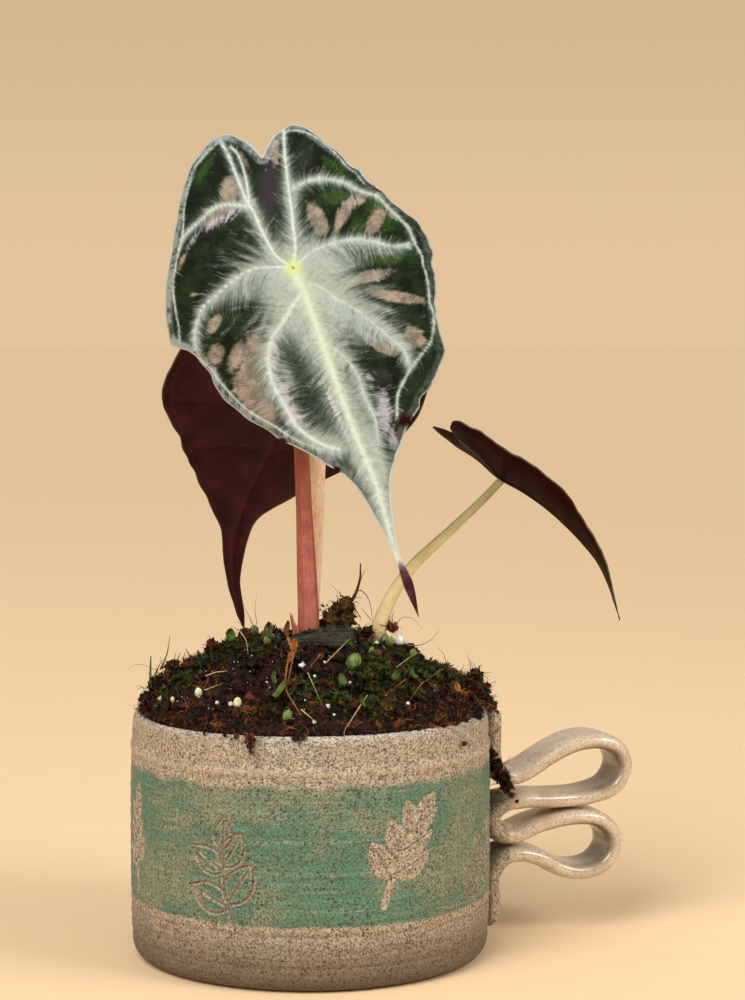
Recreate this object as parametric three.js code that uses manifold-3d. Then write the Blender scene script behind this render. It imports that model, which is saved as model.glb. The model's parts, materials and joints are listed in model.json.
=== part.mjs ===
// A small potted leaf plant: a stoneware cup with a doubled loop handle, a mound of peat,
// a corm with its roots, three leaf stalks and three arrow-shaped leaf blades.
// Millimetres, +Z up. The origin is the centre of the cup's flat base, +X points towards
// the handle's side and -Y towards the side that the large front leaf faces.

import * as THREE from 'three';
import { mergeVertices } from 'three/addons/utils/BufferGeometryUtils.js';
import Module from 'manifold-3d';

const wasm = await Module();
wasm.setup();

// Driving dimensions

const seat = 0.3;                  // clearance between two pieces that touch

const cup = {
	height: 58,
	baseRadius: 38,
	cornerRadius: 3.6,             // turned edge between base and wall
	bellyRadius: 42.7,
	bellyHeight: 25,
	rimRadius: 42,
	ringHeight: 50,                // throwing ring below the rim
	ringProud: 0.3,
	grooveHeights: [5.6, 13],      // lines trimmed into the bare foot
	grooveDepth: 0.35,
	wall: 3.3,
	floor: 5,
	lipSteps: 5,
	sides: 52,
};

const handle = {
	turn: THREE.MathUtils.degToRad(18), // behind +X, seen from above
	width: 13.5,
	thickness: 3.4,
	steps: 84,
	corners: 10,                   // sides of the rounded strap section
};

const mound = {
	// distance from the cup's axis and height of the peat's surface
	profile: [[0, 75.8], [10, 75.4], [17, 74.4], [22, 72.4], [27, 69.6], [32, 66.8], [36.5, 63], [38.2, 59.5]],
	shoulders: [[-30, 2.2], [33, 1.6]], // the peat stands higher at these places along X
	lumpHeight: 1.3,
	roughness: 0.7,
	rings: 11,
	sides: 38,
	clods: 42,
	grains: 20,                    // perlite and seed-like grains
	seed: 41,
};

const corm = { radius: 7.2, height: 15, middle: [1, 3, 54], roots: 5, rootLength: 24, rootRadius: 1.1 };

const blade = {
	thickness: 0.8,
	ribHeight: 0.9,                // midrib below the blade, at its rear end
	veinHeight: 0.3,
	quiltHeight: 0.9,              // swell of the blade between two side veins
	stationsPerVein: 2,
	ripple: 20,                    // radians of edge wave from notch to tip
	tailStart: 42,                 // distance from the joint where the drip tip begins
	rowsPerStation: 2,
	columns: 6,                    // faces from midrib to edge
};

const flake = { thickness: 1.7, bevel: 0.45, tilt: 38, roll: -9, middle: [2.6, -9, 76.4] };

const rootKnot = { size: [3.6, 3.4, 4.4], middle: [7, 2, 79.6], lean: 0.3 };

// Dry leaf sheath: part of a cone that stands round the foot of the front stalk
const sheath = {
	axis: [-0.4, 0],
	low: 69,
	high: 80.6,
	radius: 3.6,
	flareFrom: 74,
	flare: 0.14,
	facing: 1.06 * Math.PI,
	spread: 1.15,
	taper: 0.35,
	shoulderDrop: 4,
	wall: 0.7,
};

// Small shared functions

function makeRandom(seed) {
	let state = seed;
	return function random() {
		state = (state * 1664525 + 1013904223) % 4294967296;
		return state / 4294967296;
	};
}

function toVector(point) {
	return new THREE.Vector3(...point);
}

function toSolid(geometry) {
	const bare = geometry.clone();
	bare.deleteAttribute('normal');
	bare.deleteAttribute('uv');
	const merged = mergeVertices(bare, 1e-4);
	return new wasm.Manifold(new wasm.Mesh({
		numProp: 3,
		vertProperties: new Float32Array(merged.attributes.position.array),
		triVerts: new Uint32Array(merged.index.array),
	}));
}

function toGeometry(solid) {
	const mesh = solid.getMesh();
	const geometry = new THREE.BufferGeometry();
	geometry.setAttribute('position', new THREE.BufferAttribute(mesh.vertProperties, 3));
	geometry.setIndex(new THREE.BufferAttribute(mesh.triVerts, 1));
	return geometry;
}

function joinAll(solids) {
	return solids.reduce((whole, next) => whole.add(next));
}

// Drops the loose scraps that a cut leaves
function largestPiece(solid) {
	return solid.decompose().sort((a, b) => b.volume() - a.volume())[0];
}

// A round stem along a curve. radii are spread evenly from the first point to the last.
function makeStem(points, radii, steps, sides, extra = 0) {
	const curve = new THREE.CatmullRomCurve3(points.map(toVector));
	const frames = curve.computeFrenetFrames(steps);
	const positions = [];
	const index = [];
	for (let i = 0; i <= steps; i++) {
		const along = i / steps;
		const place = along * (radii.length - 1);
		const low = Math.min(Math.floor(place), radii.length - 2);
		const radius = THREE.MathUtils.lerp(radii[low], radii[low + 1], place - low) + extra;
		const centre = curve.getPointAt(along);
		for (let j = 0; j < sides; j++) {
			const angle = 2 * Math.PI * j / sides;
			const rim = centre.clone()
				.addScaledVector(frames.normals[i], radius * Math.cos(angle))
				.addScaledVector(frames.binormals[i], radius * Math.sin(angle));
			positions.push(rim.x, rim.y, rim.z);
		}
	}
	for (let i = 0; i < steps; i++) {
		for (let j = 0; j < sides; j++) {
			const next = (j + 1) % sides;
			const a = i * sides + j;
			const b = i * sides + next;
			index.push(a, b, b + sides, a, b + sides, a + sides);
		}
	}
	for (let j = 1; j < sides - 1; j++) {
		const top = steps * sides;
		index.push(0, j + 1, j, top, top + j, top + j + 1);
	}
	const geometry = new THREE.BufferGeometry();
	geometry.setAttribute('position', new THREE.Float32BufferAttribute(positions, 3));
	geometry.setIndex(index);
	return geometry;
}

// A closed shell on both sides of an open sheet. above and below hold the distance of each
// face from the sheet, point by point, and both faces are split into the same triangles.
function thickenSheet(points, index, above, below) {
	const sheet = new THREE.BufferGeometry().setFromPoints(points);
	sheet.setIndex(index);
	sheet.computeVertexNormals();
	const normal = new THREE.Vector3();
	const faces = [[], []];
	points.forEach((point, i) => {
		normal.fromBufferAttribute(sheet.attributes.normal, i);
		faces[0].push(point.clone().addScaledVector(normal, above[i]));
		faces[1].push(point.clone().addScaledVector(normal, -below[i]));
	});
	const count = points.length;
	const edges = new Set();
	for (let i = 0; i < index.length; i += 3) {
		for (let k = 0; k < 3; k++) {
			edges.add(index[i + k] * count + index[i + (k + 1) % 3]);
		}
	}
	const closed = [...index];
	for (let i = 0; i < index.length; i += 3) {
		closed.push(index[i] + count, index[i + 2] + count, index[i + 1] + count);
	}
	for (const edge of edges) {
		const from = Math.floor(edge / count);
		const to = edge % count;
		if (!edges.has(to * count + from)) {
			closed.push(to, from, from + count, to, from + count, to + count);
		}
	}
	const shell = new THREE.BufferGeometry().setFromPoints([...faces[0], ...faces[1]]);
	shell.setIndex(closed);
	return shell;
}

// Cup: one turned solid, open at the top

function wallRadius(z) {
	const toRim = (z - cup.bellyHeight) / (cup.height - cup.bellyHeight);
	const toBase = (cup.bellyHeight - z) / cup.bellyHeight;
	const rimDrop = cup.bellyRadius - cup.rimRadius;
	return cup.bellyRadius - rimDrop * (z > cup.bellyHeight ? toRim ** 3 : toBase ** 3);
}

function innerRadius(z) {
	return wallRadius(z) - cup.wall;
}

function makeCup() {
	const profile = new THREE.Path();
	const corner = wallRadius(cup.cornerRadius);
	profile.moveTo(0, 0);
	profile.lineTo(cup.baseRadius, 0);
	profile.quadraticCurveTo(corner - 0.4, 0.2, corner, cup.cornerRadius);
	const outline = profile.getPoints(3);
	for (const height of cup.grooveHeights) {
		outline.push(new THREE.Vector2(wallRadius(height - 0.6), height - 0.6));
		outline.push(new THREE.Vector2(wallRadius(height) - cup.grooveDepth, height));
		outline.push(new THREE.Vector2(wallRadius(height + 0.6), height + 0.6));
	}
	for (const height of [cup.bellyHeight, 40, cup.ringHeight - 2, cup.ringHeight, cup.ringHeight + 2]) {
		const proud = height === cup.ringHeight ? cup.ringProud : 0;
		outline.push(new THREE.Vector2(wallRadius(height) + proud, height));
	}
	const lip = cup.wall / 2;
	const lipCentre = cup.rimRadius - lip;
	for (let i = 0; i <= cup.lipSteps; i++) {
		const angle = Math.PI * i / cup.lipSteps;
		outline.push(new THREE.Vector2(
			lipCentre + lip * Math.cos(angle), cup.height - lip + lip * Math.sin(angle)));
	}
	for (const height of [45, cup.bellyHeight, cup.floor + 5]) {
		outline.push(new THREE.Vector2(innerRadius(height), height));
	}
	outline.push(new THREE.Vector2(innerRadius(cup.floor) - 1, cup.floor + 1.6));
	outline.push(new THREE.Vector2(innerRadius(cup.floor) - 4, cup.floor));
	outline.push(new THREE.Vector2(0, cup.floor));
	const geometry = new THREE.LatheGeometry(outline, cup.sides);
	return geometry.rotateX(Math.PI / 2);
}

// Handle: one flat clay strap, bent into two loops beside the wall.
// Its centre line is drawn as distance from the cup's axis and height.

const wallRun = cup.bellyRadius + seat + handle.thickness / 2;

const handleLine = [
	[wallRun, 56.8], [wallRun, 50], [wallRun + 0.1, 44.4], [46.5, 40.6], [50, 39.4],
	[54.5, 40.9], [60, 44], [66.3, 46.6], [72.6, 47], [77.5, 44.8],
	[79.1, 40.4], [76.6, 35.6], [69.8, 33.4], [61, 33.1], [52.4, 33.5], [47.2, 32.6],
	[wallRun, 29.6], [46.3, 25.8], [50, 25], [57, 27.2], [65.6, 28.6],
	[71.9, 27.8], [76, 24.4], [76.3, 19.8], [73.2, 16.1], [67.8, 14.9], [62.6, 16],
	[57, 19], [51.8, 20.4], [47.6, 19.6], [wallRun, 15.6], [wallRun, 9], [44, 3.2],
];

function makeHandle() {
	const line = new THREE.CatmullRomCurve3(handleLine.map(([r, z]) => new THREE.Vector3(r, 0, z)));
	const half = handle.width / 2;
	const deep = handle.thickness / 2;
	const section = [];
	for (let k = 0; k < handle.corners; k++) {
		const angle = 2 * Math.PI * (k + 0.5) / handle.corners;
		const squared = (value, power) => Math.sign(value) * Math.abs(value) ** power;
		section.push([half * squared(Math.cos(angle), 0.35), deep * squared(Math.sin(angle), 0.6)]);
	}
	const positions = [];
	const index = [];
	const sides = section.length;
	for (let i = 0; i <= handle.steps; i++) {
		const centre = line.getPointAt(i / handle.steps);
		const tangent = line.getTangentAt(i / handle.steps);
		for (const [across, out] of section) {
			positions.push(centre.x + tangent.z * out, across, centre.z - tangent.x * out);
		}
	}
	for (let i = 0; i < handle.steps; i++) {
		for (let j = 0; j < sides; j++) {
			const a = i * sides + j;
			const b = i * sides + (j + 1) % sides;
			index.push(a, b + sides, b, a, a + sides, b + sides);
		}
	}
	for (let j = 1; j < sides - 1; j++) {
		const end = handle.steps * sides;
		index.push(0, j, j + 1, end, end + j + 1, end + j);
	}
	const geometry = new THREE.BufferGeometry();
	geometry.setAttribute('position', new THREE.Float32BufferAttribute(positions, 3));
	geometry.setIndex(index);
	return geometry;
}

// Leaf stalks: x, y, z from the corm up to the blade, with their radii

const stalks = {
	petiole_front: {
		line: [[-0.4, 1, 58], [-0.3, 0, 70], [-0.3, 0, 80], [-1.1, 4, 98], [-2, 6.5, 118],
			[-3.1, 6.5, 140], [-3.6, 0.5, 157], [-3.6, -8, 162.2]],
		radii: [2.3, 2.5, 2.3, 1.8, 1.7, 1.7, 1.6, 1.6],
	},
	petiole_back: {
		line: [[0.2, 5, 58], [-0.1, 6.4, 70], [-0.2, 7, 80], [0.5, 10, 93], [1.4, 15.5, 115],
			[2.4, 20, 131], [2.5, 25, 143.7]],
		radii: [2.2, 2.3, 2.3, 2.2, 2.1, 1.9, 1.6],
	},
	petiole_side: {
		line: [[4.8, 3, 57], [14.2, 1.5, 69], [17.4, 1.3, 80.5], [23.3, 2.4, 90.5], [33, 3.4, 99.8],
			[41, 4, 107.4], [45.3, 4, 111.9]],
		radii: [1.9, 1.9, 1.8, 1.4, 1.2, 1, 0.8],
	},
};

function makeStalk(name, extra = 0) {
	const { line, radii } = stalks[name];
	return makeStem(line, radii, 14, 9, extra);
}

// Leaf blades. Each row of stations holds the left edge, the midrib and the right edge, seen
// on the blade's upper side with its tip down. The first row is the notch between the two
// rear lobes, the last one the tip, and every point is taken from the joint with the stalk.

const blades = {
	blade_front: {
		joint: [-3.6, -8, 162.2],
		lean: 0.3,                  // how far the tip comes forward
		arch: 0.0055,               // how far both sides curl back
		droop: -0.004,              // how the tail turns down again
		axis: [0.3465, -0.938],
		wave: 1.1,
		stations: [
			[[-7.5, 26], [-7.5, 26], [-7.5, 26]],
			[[-11, 29.5], [-6, 20], [-4.5, 31.5]],
			[[-17, 31.5], [-4.5, 14.5], [0, 34]],
			[[-24, 25], [-3, 9], [9, 28.5]],
			[[-28.5, 12], [-1.5, 4.5], [19.5, 19]],
			[[-30, -2], [0, 0], [30, 10]],
			[[-28.8, -17], [2.5, -7], [33, -1]],
			[[-23, -20.3], [5.5, -14.5], [33, -11]],
			[[-15.5, -31], [9, -22], [35, -20]],
			[[-4.5, -38.5], [12, -29.5], [29.5, -31]],
			[[6, -43.5], [15, -38.5], [24.5, -40.5]],
			[[13.5, -48.5], [18, -47], [22.5, -48]],
			[[19.6, -57.8], [21.4, -57.2], [23.2, -57.6]],
			[[23.7, -66.2], [24.3, -66], [24.9, -65.8]],
			[[25.4, -71.8], [26.4, -71.4], [27.5, -71]],
			[[29, -79.5], [29, -79.5], [29, -79.5]],
		],
	},
	blade_back: {
		joint: [2.5, 25, 143.7],
		lean: -0.26,
		arch: -0.005,
		droop: 0.003,
		axis: [-0.4175, -0.9087],
		wave: 1,
		stations: [
			[[7.5, 15], [7.5, 15], [7.5, 15]],
			[[10, 22], [6, 12], [4, 23]],
			[[17, 24.5], [4.2, 8.5], [-4, 26.5]],
			[[23.5, 16], [2, 4], [-15, 19.5]],
			[[26.5, 4], [0, 0], [-26.5, 7.5]],
			[[26.5, -8], [-3.5, -7], [-36, -3]],
			[[22, -19.5], [-7, -14], [-39.5, -13]],
			[[13, -27], [-10.5, -21], [-35.5, -23]],
			[[3, -32.5], [-14.5, -29], [-33, -31]],
			[[-7, -38], [-18.5, -37], [-29, -39]],
			[[-16.5, -44], [-21.5, -45], [-25.8, -46]],
			[[-19.8, -52.5], [-22.8, -52.5], [-25.3, -53]],
			[[-21, -60], [-22.7, -60.5], [-24, -61]],
			[[-20, -67.5], [-21, -68], [-21.8, -68.5]],
			[[-20, -72.5], [-20, -72.5], [-20, -72.5]],
		],
	},
	blade_side: {
		joint: [45.3, 4, 111.9],
		ribHeight: 0.4,
		bulge: 0.4,                 // how far each half swells out of a straight fold
		wave: 0.5,
		stations: [
			[[-10.4, 0, 11], [-10.4, 0, 11], [-10.4, 0, 11]],
			[[-12.2, -4, 13], [-8.3, 0, 8.5], [-14, 5, 12.2]],
			[[-11.3, -8, 14.4], [-5.7, 0, 5.8], [-15.8, 10, 12.3]],
			[[-6, -11, 12.2], [-3, 0, 3.2], [-9, 14, 9.6]],
			[[0.5, -12, 8], [0, 0, 0.8], [-1, 15, 5.2]],
			[[6.5, -12, 4.5], [5, 0, -2], [5.5, 14.5, 1.8]],
			[[12.5, -11, -0.5], [10.5, 0, -5.8], [11.5, 13, -2.6]],
			[[17, -9, -5.7], [15.5, 0, -10.2], [16, 10.5, -7.6]],
			[[20.5, -7, -11], [20, 0, -14.9], [20, 8, -12.6]],
			[[23.5, -5, -16.2], [23.4, 0, -19.2], [23.3, 5.5, -17.4]],
			[[25.6, -3, -22], [25.8, 0, -24], [25.7, 3, -22.8]],
			[[27.2, -1.2, -28], [27.4, 0, -28.8], [27.2, 1.2, -28.2]],
			[[28.4, 0, -33], [28.4, 0, -33], [28.4, 0, -33]],
		],
	},
};

// The flat outline is bent: depth behind the joint of a point that hangs x across and z up.
function bendDepth({ lean, arch, droop, axis }, x, z) {
	const along = axis[0] * x + axis[1] * z;
	const across = axis[0] * z - axis[1] * x;
	const tail = Math.max(along - blade.tailStart, 0);
	const rear = Math.min(along, 0);
	return -lean * along + arch * across ** 2 - droop * tail ** 2 - droop * rear ** 2;
}

function makeBlade(shape, extra = 0) {
	const lines = [0, 1, 2].map((column) => new THREE.CatmullRomCurve3(shape.stations.map((row) => {
		const point = row[column];
		return point.length === 3 ? toVector(point) : new THREE.Vector3(point[0], 0, point[1]);
	})));
	const rows = (shape.stations.length - 1) * blade.rowsPerStation;
	const columns = blade.columns * 2;
	const points = [];
	const details = [];
	for (let row = 0; row <= rows; row++) {
		const station = row / rows;
		const [left, rib, right] = lines.map((line) => line.getPoint(station));
		const ends = row === 0 || row === rows;
		for (let column = 0; column <= (ends ? 0 : columns); column++) {
			const side = (ends ? 0 : column / blade.columns - 1);
			const out = Math.abs(side);
			const point = rib.clone().lerp(side < 0 ? left : right, out);
			if (shape.axis) {
				point.y = bendDepth(shape, point.x, point.z);
			} else {
				point.z -= shape.bulge * Math.sin(Math.PI * out);
			}
			points.push(point);
			details.push({ station, side, out, row });
		}
	}
	const cell = (row, column) => {
		if (row === 0) return 0;
		if (row === rows) return points.length - 1;
		return 1 + (row - 1) * (columns + 1) + column;
	};
	const index = [];
	for (let row = 0; row < rows; row++) {
		for (let column = 0; column < columns; column++) {
			const a = cell(row, column);
			const b = cell(row, column + 1);
			const c = cell(row + 1, column);
			const d = cell(row + 1, column + 1);
			if (c !== d) index.push(a, c, d);
			if (a !== b) index.push(a, d, b);
		}
	}
	const sheet = new THREE.BufferGeometry().setFromPoints(points);
	sheet.setIndex(index);
	sheet.computeVertexNormals();
	const normal = new THREE.Vector3();
	const above = [];
	const below = [];
	points.forEach((point, i) => {
		const { station, side, out, row } = details[i];
		const rowsPerVein = blade.stationsPerVein * blade.rowsPerStation;
		const between = Math.sin(Math.PI * row / rowsPerVein) ** 2;
		const fade = Math.sin(Math.PI * station);
		const quilt = blade.quiltHeight * between * Math.sin(Math.PI * out) * fade;
		const wave = shape.wave * out ** 4 * fade * Math.sin(blade.ripple * station + 2.4 * side);
		normal.fromBufferAttribute(sheet.attributes.normal, i);
		point.addScaledVector(normal, quilt + wave);
		const rib = out === 0 ? (shape.ribHeight ?? blade.ribHeight) * (1 - station) : 0;
		const vein = blade.veinHeight * (1 - between) * (1 - out);
		above.push(blade.thickness / 2 + extra);
		below.push(blade.thickness / 2 + extra + rib + vein);
	});
	return thickenSheet(points, index, above, below);
}

// Corm with stubby roots, hidden in the peat

function makeCorm(extra = 0) {
	const body = new THREE.SphereGeometry(1, 10, 6);
	body.rotateX(Math.PI / 2);
	body.scale(corm.radius + extra, corm.radius + extra, corm.height / 2 + extra);
	body.translate(...corm.middle);
	const solids = [toSolid(body)];
	const [x, y, z] = corm.middle;
	for (let i = 0; i < corm.roots; i++) {
		const angle = 2 * Math.PI * (i + 0.3 * (i % 2)) / corm.roots;
		const reach = corm.rootLength * (0.85 + 0.15 * (i % 3) / 2);
		const out = (share, drop) => [
			x + reach * share * Math.cos(angle + 0.3 * share),
			y + reach * share * Math.sin(angle + 0.3 * share), z - drop];
		const line = [out(0.1, 3), out(0.4, 9), out(0.65, 18), out(0.8, 30)];
		solids.push(toSolid(makeStem(line, [corm.rootRadius, corm.rootRadius * 0.5], 4, 5, extra)));
	}
	return joinAll(solids);
}

// Loose matter on the peat: a flake of bark, a knot of old roots and a dry leaf sheath

function makeBarkFlake(extra = 0) {
	const outline = new THREE.Shape([
		[-7.8, -0.6], [-5.2, -3], [-0.5, -3.8], [5, -3.2], [7.8, -0.6],
		[6.2, 2.2], [1.2, 3.2], [-3, 2.4], [-6, 2.6],
	].map(([x, y]) => new THREE.Vector2(x, y)));
	const depth = flake.thickness - 2 * flake.bevel + 2 * extra;
	const plate = new THREE.ExtrudeGeometry(outline, {
		depth, bevelEnabled: true, bevelThickness: flake.bevel,
		bevelSize: flake.bevel + extra, bevelSegments: 1,
	});
	plate.translate(0, 0, -depth / 2);
	plate.rotateX(THREE.MathUtils.degToRad(flake.tilt));
	plate.rotateY(THREE.MathUtils.degToRad(flake.roll));
	plate.translate(...flake.middle);
	return toSolid(plate);
}

const rootlets = [
	[[7, 2, 80], [9.6, 2.6, 84], [10.6, 2.8, 88], [12, 3, 92.4]],
	[[8, 1, 80], [10.6, 0, 83.6], [12, -1.6, 82], [12.4, -3, 77]],
	[[5.5, 1, 81], [4.6, -1.4, 84], [5.6, -3, 85.6]],
	[[8, 3.5, 80], [7.4, 5, 85], [8.8, 5.6, 88]],
];

function makeRootClump(extra = 0) {
	const knot = new THREE.IcosahedronGeometry(1, 1);
	knot.scale(...rootKnot.size.map((radius) => radius + extra));
	knot.rotateY(rootKnot.lean);
	knot.translate(...rootKnot.middle);
	const solids = [toSolid(knot)];
	for (const line of rootlets) {
		solids.push(toSolid(makeStem(line, [0.8, 0.55, 0.35], 5, 4, extra)));
	}
	return joinAll(solids);
}

function makeDrySheath(extra = 0) {
	const rows = 6;
	const columns = 8;
	const points = [];
	for (let row = 0; row <= rows; row++) {
		for (let column = 0; column <= columns; column++) {
			const across = 2 * column / columns - 1;
			const top = sheath.high - sheath.shoulderDrop * across ** 2;
			const z = THREE.MathUtils.lerp(sheath.low - extra, top + extra, row / rows);
			const half = sheath.spread * (1 - sheath.taper * row / rows) + extra / sheath.radius;
			const angle = sheath.facing + half * across;
			const radius = sheath.radius + sheath.flare * Math.max(z - sheath.flareFrom, 0);
			points.push(new THREE.Vector3(
				sheath.axis[0] + radius * Math.cos(angle), sheath.axis[1] + radius * Math.sin(angle), z));
		}
	}
	const index = [];
	for (let row = 0; row < rows; row++) {
		for (let column = 0; column < columns; column++) {
			const a = row * (columns + 1) + column;
			const b = a + columns + 1;
			index.push(a, a + 1, b + 1, a, b + 1, b);
		}
	}
	const wall = points.map(() => sheath.wall / 2 + extra);
	return toSolid(thickenSheet(points, index, wall, wall));
}

// Peat: a lumpy mound that fills the cup, with clods and pale grains grown into its surface

function profileHeight(radius) {
	const { profile } = mound;
	let i = 0;
	while (i < profile.length - 2 && radius > profile[i + 1][0]) i++;
	const share = (radius - profile[i][0]) / (profile[i + 1][0] - profile[i][0]);
	return THREE.MathUtils.lerp(profile[i][1], profile[i + 1][1], share);
}

function moundHeight(x, y) {
	const radius = Math.hypot(x, y);
	const inner = 1 - (radius / mound.profile.at(-1)[0]) ** 4;
	const lumps = Math.sin(0.31 * x + 1.3) * Math.cos(0.27 * y - 0.4)
		+ 0.7 * Math.sin(0.55 * x - 0.48 * y + 2) + 0.5 * Math.cos(0.83 * x + 0.61 * y);
	const shoulder = mound.shoulders.reduce(
		(sum, [middle, rise]) => sum + rise * Math.exp(-(((x - middle) / 6) ** 2 + (y / 16) ** 2)), 0);
	return profileHeight(radius) + inner * mound.lumpHeight * lumps / 2 + shoulder;
}

function makeMoundBody() {
	const random = makeRandom(mound.seed);
	const edge = mound.profile.at(-1)[0];
	const points = [new THREE.Vector3(0, 0, moundHeight(0, 0))];
	const addRing = (radius, height) => {
		for (let j = 0; j < mound.sides; j++) {
			const angle = 2 * Math.PI * j / mound.sides;
			const x = radius * Math.cos(angle);
			const y = radius * Math.sin(angle);
			const rough = mound.roughness * (random() - 0.5) * 2;
			points.push(new THREE.Vector3(x, y, height ?? moundHeight(x, y) + rough));
		}
	};
	for (let i = 1; i <= mound.rings; i++) addRing(edge * i / mound.rings);
	const walls = [53, 40, cup.bellyHeight, cup.floor + 5];
	for (const height of walls) addRing(Math.min(innerRadius(height) - seat, edge), height);
	addRing(innerRadius(cup.floor) - 4.6, cup.floor + seat);
	points.push(new THREE.Vector3(0, 0, cup.floor + seat));
	const rings = mound.rings + walls.length + 1;
	const index = [];
	for (let j = 0; j < mound.sides; j++) {
		const next = (j + 1) % mound.sides;
		index.push(0, 1 + j, 1 + next);
		for (let i = 0; i < rings - 1; i++) {
			const a = 1 + i * mound.sides;
			const b = a + mound.sides;
			index.push(a + j, b + j, b + next, a + j, b + next, a + next);
		}
		const last = 1 + (rings - 1) * mound.sides;
		index.push(last + j, points.length - 1, last + next);
	}
	const geometry = new THREE.BufferGeometry().setFromPoints(points);
	geometry.setIndex(index);
	return toSolid(geometry);
}

function makeClods() {
	const random = makeRandom(mound.seed);
	const solids = [];
	const goldenAngle = Math.PI * (3 - Math.sqrt(5));
	for (let i = 0; i < mound.clods + mound.grains; i++) {
		const grain = i >= mound.clods;
		const share = grain ? (i - mound.clods + 0.5) / mound.grains : (i + 0.5) / mound.clods;
		const radius = 34.5 * Math.sqrt(share);
		const angle = i * goldenAngle + 0.5 * random();
		const size = grain ? 1 + 0.6 * random() : 1.8 + 1.6 * random();
		const clod = grain ? new THREE.OctahedronGeometry(size, 0) : new THREE.IcosahedronGeometry(size, 0);
		clod.scale(1, 0.8 + 0.4 * random(), grain ? 0.9 : 0.7);
		clod.rotateX(6 * random());
		clod.rotateZ(6 * random());
		const x = radius * Math.cos(angle);
		const y = radius * Math.sin(angle);
		clod.translate(x, y, moundHeight(x, y) + size * (grain ? 0.2 : 0.05));
		solids.push(toSolid(clod));
	}
	return joinAll(solids);
}

function makePeat() {
	const cuts = [makeCorm(seat), makeBarkFlake(seat), makeRootClump(seat), makeDrySheath(seat)];
	for (const name of Object.keys(stalks)) {
		cuts.push(toSolid(makeStalk(name, seat)));
	}
	return largestPiece(makeMoundBody().add(makeClods()).subtract(joinAll(cuts)));
}

// A stalk is trimmed where it meets its blade and the corm
function makeTrimmedStalk(name, bladeName) {
	const facing = makeBlade(blades[bladeName], seat);
	facing.translate(...blades[bladeName].joint);
	return largestPiece(toSolid(makeStalk(name)).subtract(toSolid(facing)).subtract(makeCorm(seat)));
}

// Materials

const finish = (color, roughness) => new THREE.MeshStandardMaterial({ color, roughness, metalness: 0 });
const clay = finish(0xa79a86, 0.62);
const glazedClay = finish(0xb3a58f, 0.3);
const peat = finish(0x3a2417, 0.95);
const cormSkin = finish(0x8a6a4a, 0.85);
const redStalk = finish(0xb96a5c, 0.45);
const peachStalk = finish(0xd39a80, 0.45);
const greenStalk = finish(0xb9bf95, 0.45);
const silverLeaf = finish(0x7d9183, 0.4);
const maroonLeaf = finish(0x45181a, 0.4);
const bark = finish(0x3d4038, 0.9);
const rootBrown = finish(0x6b4a2a, 0.9);
const husk = finish(0xb5763c, 0.8);

// The plant in its cup

const plant = new THREE.Group();

function addPiece(parent, name, geometry, material) {
	const piece = new THREE.Mesh(geometry, material);
	piece.name = name;
	parent.add(piece);
	return piece;
}

addPiece(plant, 'cup', makeCup(), clay);

const handleSide = new THREE.Group();
handleSide.rotation.z = handle.turn;
plant.add(handleSide);
addPiece(handleSide, 'handle', makeHandle(), glazedClay);

addPiece(plant, 'soil', toGeometry(makePeat()), peat);
addPiece(plant, 'corm', toGeometry(makeCorm()), cormSkin);
addPiece(plant, 'bark_flake', toGeometry(makeBarkFlake()), bark);
addPiece(plant, 'root_clump', toGeometry(makeRootClump()), rootBrown);
addPiece(plant, 'dry_sheath', toGeometry(makeDrySheath()), husk);

addPiece(plant, 'petiole_front', toGeometry(makeTrimmedStalk('petiole_front', 'blade_front')), redStalk);
addPiece(plant, 'petiole_back', toGeometry(makeTrimmedStalk('petiole_back', 'blade_back')), peachStalk);
addPiece(plant, 'petiole_side', toGeometry(makeTrimmedStalk('petiole_side', 'blade_side')), greenStalk);

const leafFinish = { blade_front: silverLeaf, blade_back: maroonLeaf, blade_side: maroonLeaf };
for (const [name, shape] of Object.entries(blades)) {
	addPiece(plant, name, makeBlade(shape), leafFinish[name]).position.set(...shape.joint);
}

export default plant;
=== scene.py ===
# A small potted alocasia: silver-veined leaves on red and green stalks, in a speckled clay cup
import json
import math
import random

import bmesh
import bpy
import numpy as np
from mathutils import Euler, Matrix, Vector, noise

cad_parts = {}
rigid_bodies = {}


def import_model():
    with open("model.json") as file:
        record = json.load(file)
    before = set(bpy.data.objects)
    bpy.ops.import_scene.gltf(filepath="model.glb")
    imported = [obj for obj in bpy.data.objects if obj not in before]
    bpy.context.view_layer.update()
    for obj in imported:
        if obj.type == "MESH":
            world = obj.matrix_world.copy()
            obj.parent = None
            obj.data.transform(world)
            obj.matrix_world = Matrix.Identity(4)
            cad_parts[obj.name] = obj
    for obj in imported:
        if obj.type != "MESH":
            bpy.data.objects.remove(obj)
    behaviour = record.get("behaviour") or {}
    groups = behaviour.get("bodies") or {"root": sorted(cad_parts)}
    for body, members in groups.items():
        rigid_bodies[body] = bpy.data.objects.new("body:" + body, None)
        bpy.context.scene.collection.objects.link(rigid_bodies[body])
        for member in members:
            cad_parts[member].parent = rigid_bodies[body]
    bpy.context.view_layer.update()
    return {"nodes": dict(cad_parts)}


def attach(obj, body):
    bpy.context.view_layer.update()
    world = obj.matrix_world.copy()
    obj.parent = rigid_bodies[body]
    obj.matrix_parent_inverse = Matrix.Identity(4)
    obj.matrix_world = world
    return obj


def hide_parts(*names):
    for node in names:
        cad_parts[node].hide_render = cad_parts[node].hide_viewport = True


for oldObject in list(bpy.data.objects):
    bpy.data.objects.remove(oldObject)

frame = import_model()
mm = 0.001


# Colours and shader nodes

def srgb(red, green, blue):
    channels = []
    for value in (red, green, blue):
        share = value / 255
        channels.append(share / 12.92 if share <= 0.04045 else ((share + 0.055) / 1.055) ** 2.4)
    return (*channels, 1.0)


def feed(tree, socket, value):
    if isinstance(value, bpy.types.NodeSocket):
        tree.links.new(value, socket)
    elif value is not None:
        socket.default_value = value


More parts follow.
